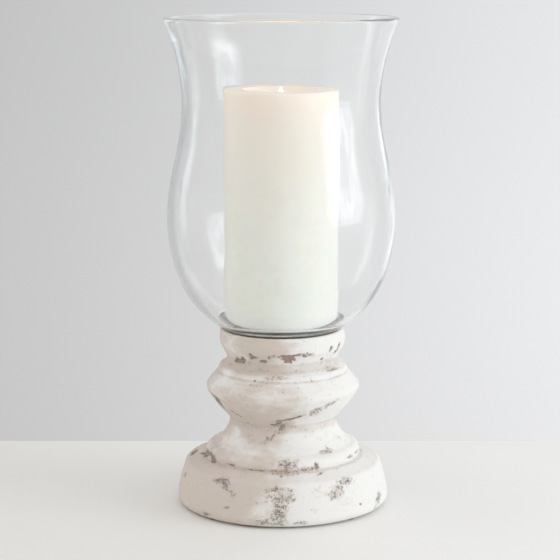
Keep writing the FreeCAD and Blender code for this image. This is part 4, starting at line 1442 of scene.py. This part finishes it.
@dataclass
class PillarCandle:
    """Wax pillar with a dished top and a hollow core."""

    radius: float = 37.5
    low: float = 124.3
    high: float = 276.7
    wall: float = 6.6
    plate_seat: float = 32.4
    plate_top: float = 128.3
    roof: float = 258.7
    dish: float = 268.7
    hole: float = 4.2
    dish_edge: float = 24.5
    dish_floor: float = 11.0
    edge_round: float = 1.2
    dish_lip: float = 0.8
    quarter_sag: float = 0.29
    bulges: tuple[float, float] = (30.0, 0.10)
    pores: tuple[float, float] = (7.0, 0.035)
    seed: int = 19
    segments: int = 256

    @classmethod
    def from_frame(cls) -> "PillarCandle":
        """The candle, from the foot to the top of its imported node."""
        low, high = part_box("candle_wax_shell")
        return cls(low=low[2] / MM, high=high[2] / MM)

    def build(self, finish: bpy.types.Material) -> bpy.types.Object:
        """Build the wax.

        Args:
            finish: the wax.

        Returns:
            The piece.
        """
        o = Outline(self.plate_seat, self.low, 2.0)
        o.line(self.radius - self.edge_round, self.low)
        o.step = 0.4
        o.bow(self.radius, self.low + self.edge_round, self.quarter_sag * self.edge_round)
        o.step = 1.6
        o.line(self.radius, self.high - self.edge_round)
        o.step = 0.3
        o.bow(self.radius - self.edge_round, self.high, self.quarter_sag * self.edge_round)
        o.step = 1.0
        o.line(self.dish_edge + self.dish_lip, self.high)
        o.step = 0.3
        o.bow(self.dish_edge, self.high - self.dish_lip, 0.23)
        o.step = 0.9
        o.bow(self.dish_floor, self.dish, -1.6)
        o.line(self.hole, self.dish)
        o.step = 3.0
        o.line(self.hole, self.roof)
        o.line(self.radius - self.wall, self.roof)
        o.step = 8.0
        o.line(self.radius - self.wall, self.plate_top)
        o.line(self.plate_seat, self.plate_top)
        o.line(self.plate_seat, self.low)
        lathe = Lathe("candle_wax", np.array(o.points[:-1]), self.segments, closed=True)
        grid, normals = lathe.grid(), lathe.normals()
        flat = grid.reshape(-1, 3)
        (wide, bulge), (pore, pit) = self.bulges, self.pores
        uneven = Lattice(self.seed).at(flat * (1, 1, 0.35), wide) * bulge
        uneven = uneven + Lattice(self.seed + 1).layered(flat, pore, 2) * pit
        height, radius = lathe.outline[:, 1], lathe.outline[:, 0]
        free = np.clip((height - self.low - 2.0) / 4.0, 0, 1) * (radius > self.hole + 1.5)
        free = free * ((radius > self.radius - 0.8) | (height > self.dish - 0.1))
        grid = grid + normals * (uneven.reshape(grid.shape[:2]) * free[:, None])[:, :, None]
        thing = lathe.mesh(grid * MM)
        dress(thing, finish)
        return thing


@dataclass
class Window:
    """A curtained window: a soft-edged glowing sheet, placed by its bearing from the front."""

    name: str
    bearing: float
    distance: float
    height: float
    size: tuple[float, float]
    strength: float
    colour: Colour
    soft: float = 0.22
    mirrored: bool = True

    def build(self) -> None:
        """Build the sheet and its light."""
        width, tall = self.size
        angle = math.radians(self.bearing)
        centre = Vector((self.distance * math.sin(angle), -self.distance * math.cos(angle), self.height))
        across = Vector((math.cos(angle), math.sin(angle), 0.0)) * width / 2
        up = Vector((0.0, 0.0, tall / 2))
        mesh = bpy.data.meshes.new(self.name)
        corners = [centre - across - up, centre - across + up, centre + across + up, centre + across - up]
        mesh.from_pydata(corners, [], [(0, 1, 2, 3)])
        layer = mesh.uv_layers.new(name="UVMap")
        for loop, place in zip(layer.data, ((0, 0), (0, 1), (1, 1), (1, 0))):
            loop.uv = place
        sheet = add_object(self.name, mesh)
        sheet.visible_glossy = sheet.visible_transmission = self.mirrored
        sheet.visible_camera = False
        sheet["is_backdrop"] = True
        dress(sheet, self._light())

    def _light(self) -> bpy.types.Material:
        """Glow that is broken up a little and fades to nothing at the window's edges."""
        g = Graph(self.name)
        split = g.node("ShaderNodeSeparateXYZ", None, {0: g.node("ShaderNodeTexCoord").outputs["UV"]})
        fade = None
        for index, reach in ((0, self.soft), (1, self.soft * 0.8)):
            drape = g.noise(1.7, 2.0, 0.5, stretch=(1.0, 1.0, 0.8)) - 0.5
            place = Number(g, split.outputs[index]) + drape * 0.22
            slope = place.step(0.0, reach) * (1.0 - place).step(0.0, reach)
            fade = slope if fade is None else fade * slope
        patches = g.noise(2.3, 3.0, 0.55).step(0.34, 0.60) * 0.55 + 0.55
        glow = g.node(
            "ShaderNodeEmission",
            None,
            {"Color": g.mix(patches, (0.0, 0.0, 0.0), self.colour), "Strength": self.strength},
        )
        clear = g.node("ShaderNodeBsdfTransparent")
        mixed = g.node("ShaderNodeMixShader", None, {0: fade, 1: clear.outputs[0], 2: glow.outputs[0]})
        return g.finish(mixed.outputs[0])


@dataclass
class Studio:
    """Pale table, wall, window light and the camera."""

    camera_back: float = 1.21377
    camera_height: float = 0.36412
    camera_side: float = -0.0009
    pitch: float = 9.985
    lens: float = 119.6
    table_edge: float = 0.152
    table_half: float = 3.0
    table_thick: float = 0.03
    wall_back: float = 1.9
    wall_half: float = 4.0
    wall_low: float = -2.0
    wall_high: float = 4.0
    # painted shade: table and wall colours are darker on the left and lighter on the right, as the light
    # falls from the right
    table_left_shaded: Colour = (0.825, 0.812, 0.775)
    table_right_lit: Colour = (0.95, 0.957, 0.965)
    wall_left_shaded: Colour = (0.590, 0.598, 0.610)
    wall_right_lit: Colour = (0.895, 0.910, 0.940)
    window_colour: Colour = (0.93, 0.97, 1.0)
    sky: Colour = (1.0, 0.975, 0.945)
    sky_strength: float = 0.84

    def build(self) -> None:
        """Set everything up."""
        self._camera()
        self._surfaces()
        self._lights()
        scene = bpy.context.scene
        scene.view_settings.view_transform = "Standard"
        scene.cycles.use_denoising = True
        scene.cycles.max_bounces = 40
        scene.cycles.transmission_bounces = 36
        scene.cycles.glossy_bounces = 12
        scene.cycles.diffuse_bounces = 6
        scene.cycles.transparent_max_bounces = 24
        scene.cycles.sample_clamp_indirect = 6.0

    def _camera(self) -> None:
        """Level-headed view, a little from above."""
        data = bpy.data.cameras.new("camera")
        data.lens = self.lens
        data.sensor_width = 36.0
        data.clip_end = 20.0
        camera = add_object("camera", data)
        camera.location = (self.camera_side, -self.camera_back, self.camera_height)
        camera.rotation_euler = (math.radians(90.0 - self.pitch), 0.0, 0.0)
        bpy.context.scene.camera = camera

    def _sheet(self, name: str, corners: Sequence[tuple[float, float, float]]) -> bpy.types.Object:
        """Flat four-sided sheet."""
        mesh = bpy.data.meshes.new(name)
        mesh.from_pydata(corners, [], [(0, 1, 2, 3)])
        thing = add_object(name, mesh)
        thing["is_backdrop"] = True
        return thing

    def _surfaces(self) -> None:
        """Table and wall, with painted shade: both darker on the left, and the wall darker towards the top.
        """
        edge = self.table_edge
        half, thick = self.table_half, -self.table_thick
        table = self._sheet("table", [(-half, -half, 0), (half, -half, 0), (half, edge, 0), (-half, edge, 0)])
        front = self._sheet(
            "table_front", [(-half, edge, 0), (half, edge, 0), (half, edge, thick), (-half, edge, thick)]
        )
        wall, side, low, high = self.wall_back, self.wall_half, self.wall_low, self.wall_high
        corners = [(-side, wall, low), (side, wall, low), (side, wall, high), (-side, wall, high)]
        backdrop = self._sheet("wall", corners)
        g = Graph("table_paint_and_shade")
        across = Number(g, g.node("ShaderNodeSeparateXYZ", None, {0: g.place()}).outputs[0])
        side = (across + 0.5 + (g.noise(7.0, 3.0, 0.5) - 0.5) * 0.3).step(0.0, 1.0)
        colour = g.mix(side, self.table_left_shaded, self.table_right_lit)
        table_paint_and_shade = g.surfaced({"Base Color": colour, "Roughness": 0.55, "Specular IOR Level": 0.2})
        dress(table, table_paint_and_shade)
        dress(front, table_paint_and_shade)
        g = Graph("wall_paint_and_shade")
        split = g.node("ShaderNodeSeparateXYZ", None, {0: g.place()})
        across, up = Number(g, split.outputs[0]), Number(g, split.outputs[2])
        side = ((across + 0.75) / 1.5).step(0.0, 1.0)
        colour = g.mix(side, self.wall_left_shaded, self.wall_right_lit)
        # painted shade: the wall darkens by a tenth towards the top
        colour = g.mix(1.0 - (up / 0.9 + 0.45).step(0.0, 1.0) * 0.10, (0.0, 0.0, 0.0), colour)
        dress(backdrop, g.surfaced({"Base Color": colour, "Roughness": 0.9}))

    def _lights(self) -> None:
        """Soft sky, three windows that show in the glass, and two sheets that only fill in."""
        world = bpy.data.worlds.new("sky")
        world.use_nodes = True
        background = world.node_tree.nodes["Background"]
        background.inputs[0].default_value = (*self.sky, 1.0)
        background.inputs[1].default_value = self.sky_strength
        bpy.context.scene.world = world
        cool = self.window_colour
        Window("window_right", 70.0, 2.5, 0.88, (2.5, 2.25), 4.9, cool, soft=0.34).build()
        Window("fill_right", 42.0, 2.6, 0.90, (1.8, 1.9), 1.1, cool, soft=0.30, mirrored=False).build()
        Window("window_left", -116.0, 2.5, 0.60, (0.75, 2.6), 2.4, cool, soft=0.42).build()
        Window("window_back", 149.0, 2.0, 0.70, (0.70, 2.4), 1.5, cool, soft=0.40).build()
        Window("fill_left", -98.0, 2.5, 0.80, (1.8, 2.2), 1.9, cool, soft=0.30, mirrored=False).build()


def main() -> None:
    """Build the scene in order and report each piece."""
    logging.basicConfig(level=logging.INFO, format="%(name)s: %(message)s")
    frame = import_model()
    cad_low, cad_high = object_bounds()
    nodes = frame["nodes"]

    pedestal = Pedestal.from_frame().build(LimewashedTerracotta().build())
    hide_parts("pedestal_body")
    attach(pedestal, "pedestal")
    glass = HurricaneGlass.from_frame().build(BlownGlass().build())
    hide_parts("glass_hurricane")
    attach(glass, "glass")
    wax = PillarCandle.from_frame().build(IvoryWax().build())
    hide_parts("candle_wax_shell")
    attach(wax, "candle")
    for skin in (pedestal, glass, wax):
        LOG.info("built %s", skin.name)

    felt = WoolFelt().build()
    ivory = MouldedPlastic("ivory_plastic", (0.72, 0.69, 0.60)).build()
    grey = MouldedPlastic("grey_plastic", (0.16, 0.165, 0.17)).build()
    black = MouldedPlastic("black_plastic", (0.012, 0.012, 0.014)).build()
    brass = SheetMetal("contact_brass", (0.72, 0.50, 0.20)).build()
    steel = SheetMetal("spring_steel", (0.62, 0.62, 0.62)).build()
    zinc = SheetMetal("screw_steel", (0.55, 0.55, 0.57), 0.32).build()
    tin = SheetMetal("tinned_wire", (0.75, 0.75, 0.77), 0.2).build()
    cell = CellJacket().build()
    board = BoardLaminate().build()
    sleeve = MouldedPlastic("capacitor_sleeve", (0.02, 0.028, 0.07), 0.3, 0.1).build()
    insulation = MouldedPlastic("wire_insulation", (0.42, 0.02, 0.015), 0.35, 0.1).build()
    lens = LitResin(
        "warm_lens", (0.80, 0.60, 0.38), (1.0, 0.80, 0.48), 0.2738, 0.2774, dim=0.06, strength=3.2
    ).build()
    resin = LitResin("led_resin", (1.0, 0.93, 0.72), (1.0, 0.75, 0.42), 0.2615, 0.270, strength=3.0).build()
    finishes = {
        # the glass seat pad's dark felt also stands in for the shade in the gap under the glass's heel
        "felt_feet": felt, "glass_seat_pad": felt, "bottom_plate": ivory, "battery_tube": grey,
        "tube_screws": zinc, "battery_lower": cell, "battery_upper": cell, "positive_contact": brass,
        "conductor_strip": brass, "circuit_board": board, "board_screws": zinc, "timer_chip": black,
        "board_capacitor": sleeve, "led_post": ivory, "led_bulb": resin, "led_leads": tin,
        "flame_lens": lens, "switch_housing": black, "switch_wires": insulation, "switch_slider": black,
        "battery_door": ivory, "door_leaf": steel,
    }
    for name, material in finishes.items():
        dress(nodes[name], material)
        LOG.info("finished %s", name)

    grit = LimewashGrit().build(pedestal.data, pedestal.data.materials[0])
    details = [(grit, "limewashed_terracotta", "pedestal")]
    for name in ("glass_seat_pad", "felt_feet"):
        fuzz = FeltFuzz(f"{name}_fuzz").build(nodes[name].data, felt)
        details.append((fuzz, "brown_felt", "pedestal"))
    board_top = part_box("circuit_board")[1][2]
    low, high = (Vector(corner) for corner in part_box("switch_wires"))
    places = [
        Vector((x, low.y + WIRE_RADIUS, board_top)) for x in (low.x + WIRE_RADIUS, high.x - WIRE_RADIUS)
    ]
    details.append((SolderJoints().build(places, tin), "tinned_wire", "candle"))
    for thing, slot, body in details:
        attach(thing, body)
        LOG.info("added %s", thing.name)

    Studio().build()
    low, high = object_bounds()
    {"cad": [list(cad_low), list(cad_high)], "visual": [list(low), list(high)]}


if __name__ == "__main__":
    main()
